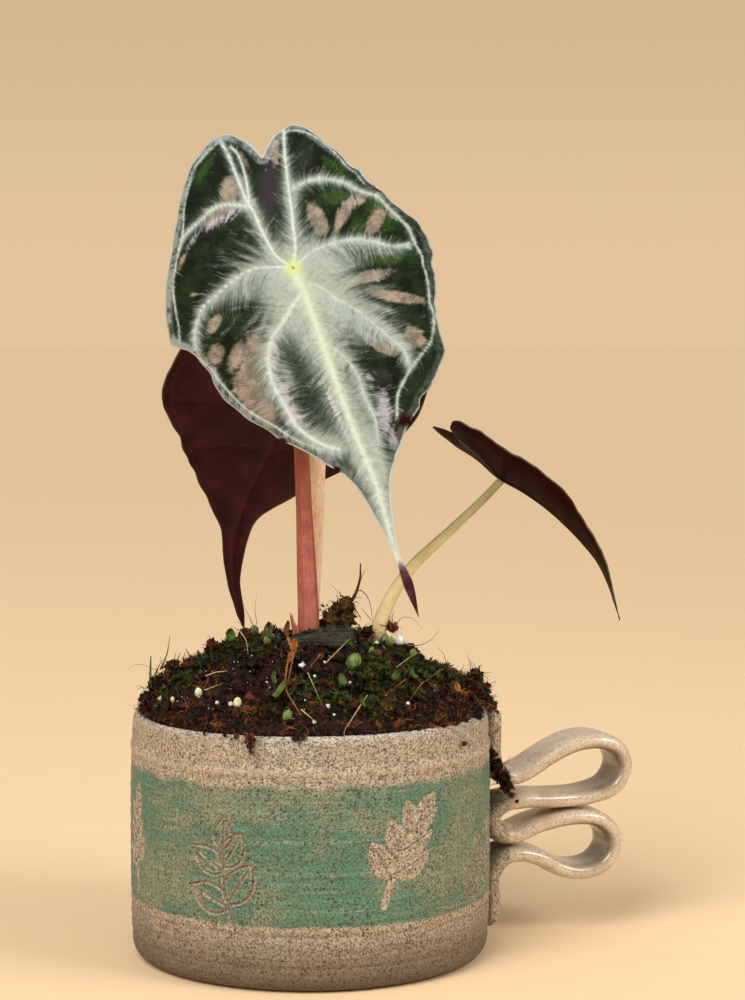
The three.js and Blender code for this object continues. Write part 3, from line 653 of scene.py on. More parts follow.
# Soft patches of tint on the front leaf: x, z, half length, half width, tilt in degrees, strength
frontPatches = {
    "blush": [
        (-14.5, 18.4, 3.6, 2.5, 62, 1.0), (-18.2, 12.2, 5.0, 1.5, 25, 0.95), (-20.8, 11.4, 3.4, 1.0, 55, 0.6),
        (5.7, 10.9, 4.0, 1.8, -62, 1.0), (11.7, 12.3, 4.2, 1.3, 62, 1.0), (15.7, 16, 2.2, 1.2, 55, 0.85),
        (19, 10.4, 3.6, 1.3, 60, 1.0), (23.6, 12.3, 2.2, 1.0, -35, 0.8), (16.4, -2.6, 6, 1.3, 14, 1.0),
        (10.4, -4.4, 4, 1.1, 32, 0.85), (24, -6.9, 6.4, 1.2, -8, 1.0), (28.1, -15.9, 2.8, 1.7, -40, 0.9),
        (20.3, -18.1, 4.4, 1.2, -28, 0.95), (-18.2, -13.2, 2.6, 1.3, 55, 0.95),
        (-17.7, -20.1, 2.4, 1.7, 60, 1.0), (-12.9, -20.5, 3.6, 1.5, 66, 1.0),
        (-8.8, -22.5, 7.4, 3.0, 86, 1.0), (-8.4, -30.4, 6.2, 3.4, -52, 1.0), (-11, -26.6, 3.6, 2.6, 60, 0.9),
        (-23, -6.3, 1.1, 0.7, 10, 0.55), (-26.2, 1.6, 3.0, 0.8, 62, 0.6), (-4.4, 27.6, 4.2, 1.1, 88, 0.7),
        (-11.3, 24.6, 3.0, 0.8, -60, 0.5), (18, -26.8, 3, 0.8, -64, 0.35)],
    "lilac": [
        (-1.6, -29.8, 7.2, 1.6, -62, 0.9), (-4.2, -20.4, 6, 1.4, 80, 0.7), (21.0, -33.2, 5.6, 1.9, -84, 1.0),
        (22.8, -38.4, 3.6, 1.2, -80, 0.7), (19.6, -50, 8, 1.2, -70, 0.5), (10.2, -33, 8, 0.7, -66, 0.75),
        (17.4, -24.8, 3.4, 0.8, -60, 0.6), (2.4, 24, 1.2, 2.2, 0, 0.2), (-17.4, 10.8, 6.4, 1.3, 26, 0.75),
        (-23.6, 6.4, 3.4, 1.0, 56, 0.7), (-6.2, 25.6, 3, 1, 80, 0.35)],
    "bright": [
        (-21.3, 22.6, 4.6, 1.5, 55, 0.9), (9.6, 23.6, 5.4, 2.2, -38, 0.75), (9.8, 16.2, 5, 2.4, 0, 1.0),
        (20.5, 12.6, 5.4, 4.4, -40, 0.95), (14.6, 9.2, 3.4, 2.2, 30, 0.8), (22.4, 2.2, 5.2, 1.9, 14, 1.0),
        (15, 0.6, 5.4, 0.8, 16, 0.9), (21, -5, 6.4, 1.0, 4, 0.7), (-13, 4.6, 4.8, 3.2, 30, 0.42),
        (-13.6, -11.6, 5, 1.6, 28, 0.55), (24.6, -20.6, 1.6, 3, -20, 0.4), (29.4, -25, 2, 5.4, -20, 0.35),
        (27.4, 1.4, 1.8, 3, 0, 0.6), (30.6, 9, 1.4, 4, 25, 0.5), (-24, -2, 2.4, 5, 0, 0.25)],
    "plum": [
        (-5.6, 18.4, 8.6, 3.2, 84, 1.0), (2.6, 25.6, 5.4, 2.8, 88, 0.55), (-14.8, 24.2, 2.4, 1.4, -50, 0.4),
        (5.5, -33.6, 7, 1.6, -55, 0.5), (20.6, -24.6, 3, 2, -30, 0.6)],
    "frost": [
        (10.4, 0.8, 6.4, 3.0, 12, 0.6), (12.4, -11.6, 7.4, 4.6, -28, 0.55), (-2.6, -5.6, 5.6, 4.4, 18, 0.65),
        (-9.6, -5.4, 6.2, 2.6, 22, 0.5), (2.6, -15.4, 4.8, 2.4, -70, 0.55), (17.8, -43, 9, 3.6, -68, 0.95),
        (8.8, -40.6, 4.6, 2.2, -28, 0.6), (-1, -25, 3, 1.4, -70, 0.5), (21.6, -55, 10, 2.2, -69, 1.0),
        (24.6, -17, 4.4, 1.6, -38, 0.5), (-8.5, 3.6, 4.6, 0.55, 149, 0.5), (-7.0, 5.2, 3.8, 0.5, 136, 0.42),
        (-10.6, 2.3, 4.4, 0.5, 158, 0.5), (-12.4, 5.4, 3.6, 0.5, 150, 0.34),
        (-6.2, 7.2, 2.8, 0.45, 122, 0.38), (-13, 1.1, 4.6, 0.5, 168, 0.45), (-15.8, 3.2, 3.4, 0.45, 160, 0.3),
        (-9.4, 7.6, 3.2, 0.45, 140, 0.3), (-17.4, 0.4, 3.6, 0.5, 176, 0.34),
        (-14.4, 8.2, 3.0, 0.4, 146, 0.24), (-19.6, 5.4, 3.4, 0.4, 158, 0.22), (12.6, -3.4, 6.4, 1.2, 18, 0.5),
        (18.4, -5.0, 5, 0.8, 8, 0.42), (20, -9.4, 5, 0.9, -18, 0.5), (15.4, -14.6, 5, 1.4, -32, 0.6),
        (20.6, -13.4, 3.8, 1.0, -36, 0.55), (14, -8, 5, 1.2, -12, 0.5), (-9.2, -12.4, 4.4, 0.6, 48, 0.42),
        (-12.6, -9.2, 4, 0.5, 30, 0.4), (-6.4, -12.2, 4.2, 0.7, 64, 0.45), (-14.6, -14, 3.4, 0.45, 50, 0.34),
        (19.8, 3.2, 6, 0.6, 2, 0.34), (9.6, 9.2, 3.2, 0.5, 70, 0.3)],
}

frontBites = [
    {"place": (25.8, -34.8), "size": (1.35, 1.0), "burn": 0.7},     # the brown hole
    {"place": (7.6, -45.6), "size": (0.5, 1.1), "burn": 0.25},      # nicks in the lower edge
    {"place": (-2.2, -39.6), "size": (0.7, 0.45), "burn": 0.4},
    {"place": (19.8, 18.7), "size": (1.0, 0.6), "burn": 0.35},
    {"place": (10.2, -45.9), "size": (0.8, 0.6), "burn": 0.3},
]


# What all the blades share, in mm: the thickness of the sheet from its edge inwards, the
# reach of the quilting off the veins, the rolled rim, and the waves and teeth of the outline
# (each wave as rate, start and size)
bladeForm = {
    "solid": 1.6, "thin": 0.42, "gain": 0.18, "gainReach": 3, "quiltReach": 2.6, "rimReach": 2.4,
    "fullWidth": 30, "ribWidth": 0.9, "sideRib": 0.35, "sideRibWidth": 0.6, "ribEdge": 1.2,
    "waves": ((1, 0, 1), (2.3, 1.1, 0.45), (5.1, 0.6, 0.3)),
    "teeth": ((19, 0, 0.22), (37, 1.3, 0.14), (71, 2.1, 0.1)), "jags": 84,
}


# Sum of sine waves of a value
def waves(value, series):
    return sum(size * np.sin(rate * value + start) for rate, start, size in series)


def leafSurface(leaf):
    station = np.linspace(0, 1, leaf["rows"] + 1)
    side = np.linspace(-1, 1, leaf["columns"] + 1)
    flat = len(leaf["stations"][0][0]) == 2
    left, rib, right = [curvePoints([(spot[0], 0, spot[1]) if flat else spot for spot in line], station)
                        for line in zip(*leaf["stations"])]
    out = np.abs(side)
    edge = np.where(side[None, :, None] < 0, left[:, None, :], right[:, None, :])
    points = rib[:, None, :] + (edge - rib[:, None, :]) * out[None, :, None]
    if flat:
        x, z = points[..., 0], points[..., 2]
        axisX, axisZ = leaf["axis"]
        along = axisX * x + axisZ * z
        across = axisX * z - axisZ * x
        tail = np.maximum(along - leaf["tailFrom"], 0)
        rear = np.minimum(along, 0)
        points[..., 1] = (-leaf["lean"] * along + leaf["arch"] * across ** 2
                          - leaf["droop"] * tail ** 2 - leaf["droop"] * rear ** 2)
        sheet = np.stack([x, z], axis=-1)
    else:
        points[..., 2] -= leaf["bulge"] * np.sin(math.pi * out)[None, :]
        length = np.concatenate([[0], np.cumsum(np.linalg.norm(np.diff(rib, axis=0), axis=1))])
        length = length - length[round(leaf["rows"] * leaf["jointStation"])]
        width = np.linalg.norm(edge - rib[:, None, :], axis=2) * side[None, :]
        sheet = np.stack([width, np.broadcast_to(-length[:, None], width.shape)], axis=-1)
    return points, sheet, station, side


def sheetNormals(points, towards):
    normals = np.cross(np.gradient(points, axis=1), np.gradient(points, axis=0))
    # the rows at both ends shrink to a point, so they take the next row's direction
    normals[:2] = normals[2]
    normals[-2:] = normals[-3]
    normals /= np.maximum(np.linalg.norm(normals, axis=2), 1e-12)[..., None]
    if (normals * np.array(towards)).sum(axis=2).mean() < 0:
        normals = -normals
    return normals


# Larger than any distance on the object, in mm
farOff = 1e9


# Nearest distance from each sheet point to a vein, the place along it, and the side of it
def veinDistance(sheet, points):
    line = list(evenPoints([(x, 0, z) for x, z in points], 4 * len(points))[:, (0, 2)])
    best = np.full(sheet.shape[:2], farOff)
    along = np.zeros(sheet.shape[:2])
    turn = np.zeros(sheet.shape[:2])
    start = 0.0
    for a, b in zip(line[:-1], line[1:]):
        step = b - a
        size = math.hypot(*step)
        free = ((sheet - a) @ step) / size ** 2
        share = np.clip(free, 0, 1)
        # the place runs on beyond the two ends of the vein
        ahead = np.clip(free, -99 if start == 0 else 0, 99 if b is line[-1] else 1)
        offset = sheet - a - share[..., None] * step
        distance = np.hypot(offset[..., 0], offset[..., 1])
        nearer = distance < best
        best = np.where(nearer, distance, best)
        along = np.where(nearer, start + ahead * size, along)
        turn = np.where(nearer, np.sign(step[0] * offset[..., 1] - step[1] * offset[..., 0]), turn)
        start += size
    return best, along, np.clip(along / start, 0, 1), turn


def patchMask(sheet, patches):
    mask = np.zeros(sheet.shape[:2])
    for x, z, length, width, tilt, strength in patches:
        angle = math.radians(tilt)
        dx = sheet[..., 0] - x
        dz = sheet[..., 1] - z
        u = (dx * math.cos(angle) + dz * math.sin(angle)) / length
        v = (dz * math.cos(angle) - dx * math.sin(angle)) / width
        mask = np.maximum(mask, strength * np.exp(-(u * u + v * v) ** 1.3 * 0.9))
    return mask


def edgeDistance(sheet):
    outline = np.concatenate([sheet[:, 0], sheet[::-1, -1]])
    ends = np.roll(outline, -1, axis=0)
    outline = np.concatenate([outline + (ends - outline) * share for share in (0, 0.25, 0.5, 0.75)])
    distance = np.full(sheet.shape[:2], farOff)
    for x, z in outline:
        distance = np.minimum(distance, np.hypot(sheet[..., 0] - x, sheet[..., 1] - z))
    return distance


def between(pair, share):
    return pair[0] + (pair[1] - pair[0]) * share


# The masks that the leaf materials read: silver, vein lines, patches and the hair sets
def leafLayers(sheet, veins, patches):
    silver = np.zeros(sheet.shape[:2])
    line = np.zeros(sheet.shape[:2])
    nearest = np.full(sheet.shape[:2], farOff)
    sets = {name: [np.full(sheet.shape[:2], farOff), np.zeros(sheet.shape[:2])] for name in hairSets}
    for number, vein in enumerate(veins.values()):
        distance, along, share, turn = veinDistance(sheet, vein["points"])
        # turn is positive on the left of the line as it runs
        reach = np.where(turn > 0, between(vein["left"], share), between(vein["right"], share))
        silver = 1 - (1 - silver) * (1 - 0.97 * np.exp(-(distance / (1.12 * reach)) ** 1.35))
        thick = vein.get("thick", 0.4) * (1 - 0.4 * share)
        line = np.maximum(line, vein["line"] * np.exp(-(distance / thick) ** 1.5))
        nearest = np.minimum(nearest, distance)
        held = sets[vein["set"]]
        nearer = distance < held[0]
        held[0] = np.where(nearer, distance, held[0])
        # each vein starts far from the others, so that their hairs differ
        held[1] = np.where(nearer, along + 37.0 * number, held[1])
    weights = {name: 1 / (held[0] ** 3 + 0.3) for name, held in sets.items()}
    total = sum(weights.values())
    layers = {"silver": silver, "line": line}
    for name, held in sets.items():
        layers[name] = np.stack([held[1], held[0], weights[name] / total], axis=-1)
    for name in frontPatches:
        layers[name] = patchMask(sheet, patches.get(name, []))
    return layers, nearest


def buildLeaf(name, leaf, veins, patches, materials, bites=()):
    form = bladeForm
    points, sheet, station, side = leafSurface(leaf)
    layers, nearest = leafLayers(sheet, veins, patches)
    down, out = station[:, None], np.abs(side)[None, :]
    edge = edgeDistance(sheet)
    layers["edge"] = edge
    layers["marginTone"] = np.clip(0.62 - sheet[..., 0] / 45, 0.2, 1)
    layers["joint"] = np.hypot(sheet[..., 0], sheet[..., 1])
    layers["tail"] = np.broadcast_to(down, edge.shape)
    # quilting between the veins, waves and a rolled rim
    normals = sheetNormals(points, leaf["faceTowards"])
    fade = np.clip(edge / form["gainReach"], 0, 1) * np.sin(math.pi * down) ** 0.5
    quilt = leaf["quilt"] * (1 - np.exp(-(nearest / form["quiltReach"]) ** 1.5)) * fade
    rim = np.clip(1 - edge / form["rimReach"], 0, 1)
    phase = leaf["ripple"] * down + 2.4 * side[None, :]
    wide = np.clip(np.linalg.norm(points[:, -1] - points[:, 0], axis=1) / form["fullWidth"], 0, 1)[:, None]
    wave = leaf["wave"] * out ** 5 * wide * waves(phase, form["waves"])
    lift = quilt + wave - leaf["curl"] * rim ** 2 * wide
    points = points + normals * lift[..., None]
    # small uneven steps in the outline
    tooth = waves(station, form["teeth"]) + 0.16 * np.sin(113 * station + 2 * np.sin(23 * station))
    draw = np.random.default_rng(leaf["rows"])
    jags = form["jags"]
    jag = [np.interp(station, np.linspace(0, 1, jags), draw.uniform(-1, 1, jags) ** 3) for half in range(2)]
    jag = np.where(side[None, :] < 0, jag[0][:, None], 1.6 * jag[1][:, None])
    tooth = tooth[:, None] * out ** 8 * wide + leaf["jagged"] * jag * out ** 9 * wide
    outward = points - points[:, leaf["columns"] // 2][:, None, :]
    outward /= np.maximum(np.linalg.norm(outward, axis=2), 1e-6)[..., None]
    points = points + outward * tooth[..., None]
    # the ribs are thicker, the edge is thin
    rib = np.exp(-(out * form["fullWidth"] * wide / form["ribWidth"]) ** 2) * (1 - down)
    sideRib = form["sideRib"] * leaf["rib"] * np.exp(-(nearest / form["sideRibWidth"]) ** 2)
    rib = np.maximum(rib * leaf["rib"], sideRib) * np.clip(edge / form["ribEdge"], 0, 1)
    body = form["thin"] + form["gain"] * np.clip(edge / form["gainReach"], 0, 1)
    layers["thickness"] = (body + rib) / form["solid"] * np.clip(12 * wide, 0.3, 1)
    mesh = mappedGrid(name, points + np.array(leaf["joint"]), layers, leaf["faceTowards"])
    if bites:
        cutBites(mesh, leaf, bites)
    addTints(mesh, leaf, veins, bites)
    piece = finishPiece(name + "_leaf", mesh, materials, node=name)
    group = piece.vertex_groups.new(name="thickness")
    amounts = np.empty(len(mesh.vertices), np.float32)
    mesh.attributes["thickness"].data.foreach_get("value", amounts)
    for index, amount in enumerate(amounts):
        group.add([index], float(amount), "REPLACE")
    shell = thicken(piece, "bladeThickness", form["solid"])
    shell.vertex_group = "thickness"
    shell.material_offset = 1
    shell.material_offset_rim = 2


# Cuts small holes and nicks, and pulls the new edge onto their outline
def cutBites(mesh, leaf, bites):
    bm = bmesh.new()
    bm.from_mesh(mesh)
    origin = leaf["joint"]
    for bite in bites:
        middleX, middleZ = origin[0] + bite["place"][0], origin[2] + bite["place"][1]

        def reach(point):
            u = (point.x / mm - middleX) / bite["size"][0]
            v = (point.z / mm - middleZ) / bite["size"][1]
            return math.hypot(u, v) + 0.12 * math.sin(3 * math.atan2(v, u))

        gone = [face for face in bm.faces if reach(face.calc_center_median()) < 1]
        bmesh.ops.delete(bm, geom=gone, context="FACES")
        for vert in bm.verts:
            size = reach(vert.co)
            if vert.is_boundary and 0.5 < size < 1.5:
                centre = Vector((middleX * mm, vert.co.y, middleZ * mm))
                vert.co += (vert.co - centre) * (1 / size - 1) * 0.8
    bm.to_mesh(mesh)
    bm.free()


# Masks that are painted on the finished mesh: the yellow-green rib and the brown edge of the holes
def addTints(mesh, leaf, veins, bites=()):
    local = readPoints(mesh) / mm - np.array(leaf["joint"])
    distance, along, share, turn = veinDistance(local[:, None, (0, 2)], veins["midrib"]["points"])
    tint = np.exp(-(distance / (2.2 * (1 - 0.6 * share) + 0.4)) ** 2) * (1 - 0.75 * share)
    burn = np.zeros(len(mesh.vertices))
    for bite in bites:
        u = (local[:, 0] - bite["place"][0]) / (bite["size"][0] + bite["burn"])
        v = (local[:, 2] - bite["place"][1]) / (bite["size"][1] + bite["burn"])
        burn = np.maximum(burn, np.clip(2.2 * (1 - np.hypot(u, v)) + 0.2, 0, 1))
    paintPoints(mesh, {"ribTint": tint[:, 0], "burn": burn})


# Plain vein layout for a leaf: laterals off the midrib and one rib into each rear lobe
def genericVeins(leaf):
    points, sheet, station, side = leafSurface(leaf)
    joint = leaf["jointStation"]

    def read(s, across):
        row = min(max(s, 0), 1) * leaf["rows"]
        column = (across + 1) / 2 * leaf["columns"]
        r, c = int(min(row, leaf["rows"] - 1)), int(min(column, leaf["columns"] - 1))
        fr, fc = row - r, column - c
        top = sheet[r, c] * (1 - fc) + sheet[r, c + 1] * fc
        low = sheet[r + 1, c] * (1 - fc) + sheet[r + 1, c + 1] * fc
        return tuple(top * (1 - fr) + low * fr)

    def vein(places, reach, line, hairSet):
        return {"points": [read(*place) for place in places], "left": reach, "right": reach, "line": line,
                "set": hairSet}

    middle = [(joint + (0.97 - joint) * i / 12, 0) for i in range(13)]
    veins = {"midrib": vein(middle, (3.2, 0.8), 0.9, "hairB")}
    for sign, label in ((-1, "Left"), (1, "Right")):
        rear = [(joint * share, sign * across) for share, across in ((1, 0), (0.84, 0.16), (0.6, 0.42),
                (0.3, 0.62))]
        veins["rear" + label] = vein(rear, (1.6, 0.6), 0.85, "hairC")
        for number, start in enumerate((0.02, 0.11, 0.23, 0.36)):
            s = joint + start * (1 - joint)
            lateral = [(s - 0.05 * t + 0.03 * t * t, sign * t) for t in (0, 0.25, 0.5, 0.75, 0.92)]
            hairSet = "hairA" if number % 2 else "hairD"
            veins["lateral" + label + str(number)] = vein(lateral, (2.0, 0.6), 0.75, hairSet)
        margin = [(0.06 + 0.62 * i / 14, sign * 0.93) for i in range(15)]
        veins["margin" + label] = vein(margin, (0.5, 0.4), 0.7, "hairC")
    return veins


genericPatches = {
    "blush": [(12, 8, 3, 1.2, 40, 0.6), (-14, -4, 3.4, 1.2, -30, 0.7), (9, -14, 3, 1.0, 50, 0.6)],
    "bright": [(-16, 4, 5, 3, 10, 0.7), (14, -6, 5, 3, -20, 0.6), (-8, -20, 4, 2, 40, 0.5)],
}

leafColours = {
    "darkCell": srgb(12, 20, 10), "greenCell": srgb(28, 42, 20), "haze": srgb(84, 98, 66),
    "brightGreen": srgb(50, 74, 27), "plum": srgb(48, 45, 46), "blush": srgb(166, 151, 137),
    "blushDeep": srgb(124, 114, 100), "lilac": srgb(198, 197, 206), "silverLow": srgb(88, 104, 92),
    "silverHigh": srgb(185, 195, 186), "stray": srgb(150, 166, 148), "line": srgb(220, 229, 222),
    "ribGreen": srgb(200, 216, 172), "jointGreen": srgb(198, 216, 126), "jointCore": srgb(112, 104, 50),
    "marginDeep": srgb(74, 86, 80), "marginGrey": srgb(154, 164, 162), "edgePale": srgb(196, 204, 200),
    "tipDark": srgb(58, 24, 32), "tipLight": srgb(102, 54, 64), "burn": srgb(50, 24, 18),
    "undersideLight": srgb(88, 34, 42), "undersideNet": srgb(30, 8, 10), "undersideEdge": srgb(66, 46, 30),
    "undersideTip": srgb(50, 52, 26),
}

# How the painted masks of the upper side spread: how far the hairs and the grain shift the
# border, the values between which the mask grows, and its full strength
leafMasks = {
    "bright": (0.3, 0.7, 0.3, 1.05, 0.9), "plum": (0.2, 0.4, 0.2, 0.9, 1.0),
    "blush": (0.42, 0, 0.16, 0.62, 0.94), "lilac": (0.9, 0.3, 0.2, 1.1, 0.7),
    "ribTint": (0.3, 0, 0.1, 1.1, 0.5),
}


def buildLeafTop(name):
    material, tree, shader = newMaterial(name)
    colours = leafColours
    combed = useGroup(tree, veinHairs)
    hairs, threads, plume = combed["Hairs"], combed["Threads"], combed["Plume"]
    place = objectPlace(tree)
    fine = grain(tree, place, 3400, 2.0)
    mid = centred(tree, grain(tree, place, 950, 3.0, 0.6))
    soft = grain(tree, place, 260)
    cloud = remap(tree, soft, 0.35, 0.65)
    drift = centred(tree, plume)
    combing = weighted(tree, (centred(tree, hairs), 0.78), (centred(tree, threads), 0.7), (mid, 0.7))
    push = add(tree, combing, times(tree, drift, 2.2))

    def pushed(value, hairShare, grainShare=0.0):
        moved = add(tree, value, times(tree, push, hairShare))
        return add(tree, moved, times(tree, mid, grainShare)) if grainShare else moved

    def patch(label):
        hairShare, grainShare, low, high, most = leafMasks[label]
        return remap(tree, pushed(painted(tree, label), hairShare, grainShare), low, high, 0.0, most)

    # the left half of the blade is hazier
    weave = weighted(tree, (threads, 0.5), (fine, 0.5))
    hazed = remap(tree, split(tree, place)[0], -0.022, 0.004, 0.46, 0.08)
    haze = times(tree, remap(tree, weave, 0.54, 0.7), hazed)
    blushCloud = remap(tree, add(tree, soft, times(tree, mid, 0.4)), 0.36, 0.62)
    blushTone = blend(tree, blushCloud, colours["blushDeep"], colours["blush"])
    blushTone = layered(tree, blushTone, (remap(tree, fine, 0.6, 0.74, 0.0, 0.5), colours["greenCell"]),
                        (remap(tree, hairs, 0.36, 0.5, 0.45, 0.0), colours["greenCell"]))
    silver = painted(tree, "silver")
    frost = painted(tree, "frost")
    silver = calc(tree, "SUBTRACT", add(tree, silver, frost), times(tree, silver, frost))
    # the hairs only move the soft flanks of the silver, not its core or the open cell
    flank = calc(tree, "MULTIPLY", silver, calc(tree, "SUBTRACT", 1.0, silver), clamp=True)
    flank = calc(tree, "SQRT", times(tree, flank, 4.0))
    flow = weighted(tree, (combing, 0.27), (drift, 1.1))
    streaked = add(tree, silver, times(tree, flow, flank))
    strokes = add(tree, combing, 0.5)
    silverMask = times(tree, remap(tree, streaked, 0.06, 0.9, 0.0, 0.95),
                       remap(tree, strokes, 0.1, 0.5, 0.8, 1.0))
    shine = weighted(tree, (strokes, 0.36), (silver, 0.52), (plume, 0.42))
    silverTone = blend(tree, remap(tree, shine, 0.42, 1.12), colours["silverLow"], colours["silverHigh"])
    strays = times(tree, remap(tree, hairs, 0.54, 0.7), remap(tree, silver, 0.015, 0.15, 0.0, 0.5))
    # greyer margin outside the collective vein, with a pale edge
    edge = painted(tree, "edge")
    margin = times(tree, remap(tree, edge, 1.2, 2.3, 1.0, 0.0), painted(tree, "marginTone"))
    marginTone = blend(tree, remap(tree, pushed(soft, 0.5, 0.6), 0.2, 0.62), colours["marginDeep"],
                       colours["marginGrey"])
    vein = painted(tree, "line")
    joint = painted(tree, "joint")
    tipTone = blend(tree, cloud, colours["tipDark"], colours["tipLight"])
    colour = layered(
        tree, blend(tree, cloud, colours["darkCell"], colours["greenCell"]),
        (haze, colours["haze"]),
        (patch("bright"), colours["brightGreen"]),
        (patch("plum"), colours["plum"]),
        (patch("blush"), blushTone),
        (silverMask, silverTone),
        (strays, colours["stray"]),
        (patch("lilac"), colours["lilac"]),
        (times(tree, margin, 0.85), marginTone),
        (remap(tree, pushed(edge, 0.3, 0.3), 0.12, 0.5, 0.8, 0.0), colours["edgePale"]),
        (remap(tree, add(tree, vein, times(tree, mid, 0.5)), 0.15, 1.0, 0.0, 0.8), colours["line"]),
        (patch("ribTint"), colours["ribGreen"]),
        (remap(tree, add(tree, joint, times(tree, push, 1.6)), 0.2, 3.0, 0.85, 0.0), colours["jointGreen"]),
        (remap(tree, joint, 0.2, 0.5, 0.8, 0.0), colours["jointCore"]),
        (remap(tree, painted(tree, "tail"), 0.865, 0.9), tipTone),
        (painted(tree, "burn"), colours["burn"]))
    rough = add(tree, weighted(tree, (silverMask, 0.04), (fine, 0.12)), 0.56)
    height = weighted(tree, (hairs, 0.7), (fine, 0.3), (vein, 0.7))
    dress(tree, shader, colour, rough, 0.07, height, 0.45, 0.12)
    return material


def buildLeafUnder(name, dark, light, gloss, greenTail):
    material, tree, shader = newMaterial(name)
    colours = leafColours
    tint = useGroup(tree, mottle, Scale=170.0, Dark=dark, Light=light, Contrast=0.9)
    place = objectPlace(tree)
    net = remap(tree, cells(tree, place, 620, "DISTANCE_TO_EDGE")["Distance"], 0.0, 0.09, 1.0, 0.0)
    fine = grain(tree, place, 3000, 2.0)
    colour = layered(
        tree, tint["Colour"],
        (times(tree, net, 0.2), colours["undersideNet"]),
        (remap(tree, painted(tree, "line"), 0.1, 0.8, 0.0, 0.2), colours["undersideLight"]),
        (remap(tree, painted(tree, "edge"), 0.1, 0.6, 0.45, 0.0), colours["undersideEdge"]),
        (remap(tree, painted(tree, "tail"), 0.68, 0.86, 0.0, greenTail), colours["undersideTip"]),
        (painted(tree, "burn"), colours["burn"]))
    height = weighted(tree, (net, -0.5), (fine, 0.3))
    dress(tree, shader, colour, add(tree, times(tree, fine, 0.14), 0.34), gloss, height, 0.4, 0.1)
    return material


def buildLeafRim(name, dark, light):
    material, tree, shader = newMaterial(name)
    tint = useGroup(tree, mottle, Scale=900.0, Dark=dark, Light=light, Contrast=0.6)
    dress(tree, shader, blend(tree, painted(tree, "burn"), tint["Colour"], leafColours["burn"]), 0.5)
    return material


leafTop = buildLeafTop("silverLeafTop")
leafUnder = buildLeafUnder("maroonUnderside", srgb(38, 10, 12), srgb(64, 18, 22), 0.17, 0.0)
sideUnder = buildLeafUnder("darkUnderside", srgb(32, 9, 8), srgb(48, 14, 12), 0.02, 0.75)
paleRim = buildLeafRim("paleLeafEdge", srgb(150, 152, 140), srgb(206, 210, 200))
darkRim = buildLeafRim("darkLeafEdge", srgb(44, 30, 20), srgb(104, 88, 64))

backVeins, sideVeins = genericVeins(backLeaf), genericVeins(sideLeaf)
frontSides = (leafTop, leafUnder, paleRim)
backSides = (leafTop, leafUnder, darkRim)
sideSides = (leafTop, sideUnder, darkRim)
buildLeaf("blade_front", frontLeaf, frontVeins, frontPatches, frontSides, frontBites)
buildLeaf("blade_back", backLeaf, backVeins, genericPatches, backSides)
buildLeaf("blade_side", sideLeaf, sideVeins, {}, sideSides)


# Leaf stalks, from the peat up to the blade

stalks = {
    "petiole_front": {
        "line": [(-0.4, 1, 58), (-0.3, 0, 70), (-0.3, 0, 80), (-1.1, 4, 98), (-2, 6.5, 118), (-3.1, 6.5, 140),
                 (-3.6, 0.5, 157), (-3.6, -7.6, 161.9)],
        "radii": (2.3, 2.5, 2.3, 1.85, 1.75, 1.7, 1.6, 1.7),
        "slot": "stalk_red", "dark": srgb(142, 60, 44), "light": srgb(178, 96, 72),
        "streak": srgb(104, 38, 34), "lined": 0.55, "upper": (srgb(128, 48, 38), 0.0), "ridge": 0.07},
    "petiole_back": {
        "line": [(0.2, 5, 58), (-0.1, 6.4, 70), (-0.2, 7, 80), (0.5, 10, 93), (1.4, 15.5, 115),
                 (2.4, 20, 131), (2.5, 24.8, 143.5)],
        "radii": (2.2, 2.3, 2.3, 2.2, 2.1, 1.9, 1.7),
        "slot": "stalk_peach", "dark": srgb(244, 192, 152), "light": srgb(254, 226, 192),
        "streak": srgb(216, 148, 114), "lined": 0.55, "upper": (srgb(216, 148, 114), 0.0), "ridge": 0.05},
    "petiole_side": {
        "line": [(4.8, 3, 57), (14.2, 1.5, 69), (17.4, 1.3, 80.5), (23.3, 2.4, 90.5), (33, 3.4, 99.8),
                 (41, 4, 107.4), (45.3, 4, 111.9)],
        "radii": (1.9, 1.9, 1.8, 1.4, 1.2, 1.0, 0.9),
        "slot": "stalk_green", "dark": srgb(204, 188, 128), "light": srgb(238, 224, 172),
        "streak": srgb(150, 136, 88), "lined": 0.1, "upper": (srgb(128, 122, 70), 0.6), "ridge": 0.05},
}

# The foot is paler and the upper part takes its own colour, between these heights in mm
stalkForm = {"footPale": srgb(206, 150, 124), "footFrom": 70, "footTo": 88, "upperTo": 112, "sides": 40,
             "rows": 120}


def buildStalk(name, stalk):
    material, tree, shader = newMaterial(stalk["slot"])
    tint = useGroup(tree, mottle, Scale=300.0, Dark=stalk["dark"], Light=stalk["light"], Contrast=0.7)
    lines = grain(tree, objectPlace(tree, (1, 1, 0.035)), 2600, 2.0)
    flecks = remap(tree, grain(tree, objectPlace(tree, (1, 1, 0.3)), 1500), 0.6, 0.7)
    height = heightMm(tree)
    upper, upperShare = stalk["upper"]
    colour = layered(
        tree, tint["Colour"],
        (remap(tree, lines, 0.52, 0.7, 0.0, stalk["lined"]), stalk["streak"]),
        (times(tree, flecks, stalk["lined"]), stalk["streak"]),
        (remap(tree, height, stalkForm["footFrom"], stalkForm["footTo"], 0.35, 0.0), stalkForm["footPale"]),
        (remap(tree, height, stalkForm["footTo"], stalkForm["upperTo"], 0.0, upperShare), upper))
    dress(tree, shader, colour, 0.5, height=lines, strength=0.35, depth=0.15)
    soften(shader, 0.15, 0.5)
    shader.inputs["Subsurface Radius"].default_value = (0.004, 0.0015, 0.001)

    def ridged(angle):
        return 1 + stalk["ridge"] * np.cos(3 * angle + 0.7) + 0.5 * stalk["ridge"] * np.cos(11 * angle)

    surface = tubeSurface(stalk["line"], stalk["radii"], stalkForm["sides"], stalkForm["rows"], ridged)
    finishPiece(name + "_stalk", closeEnds(mappedGrid(name, surface)), [material], node=name)


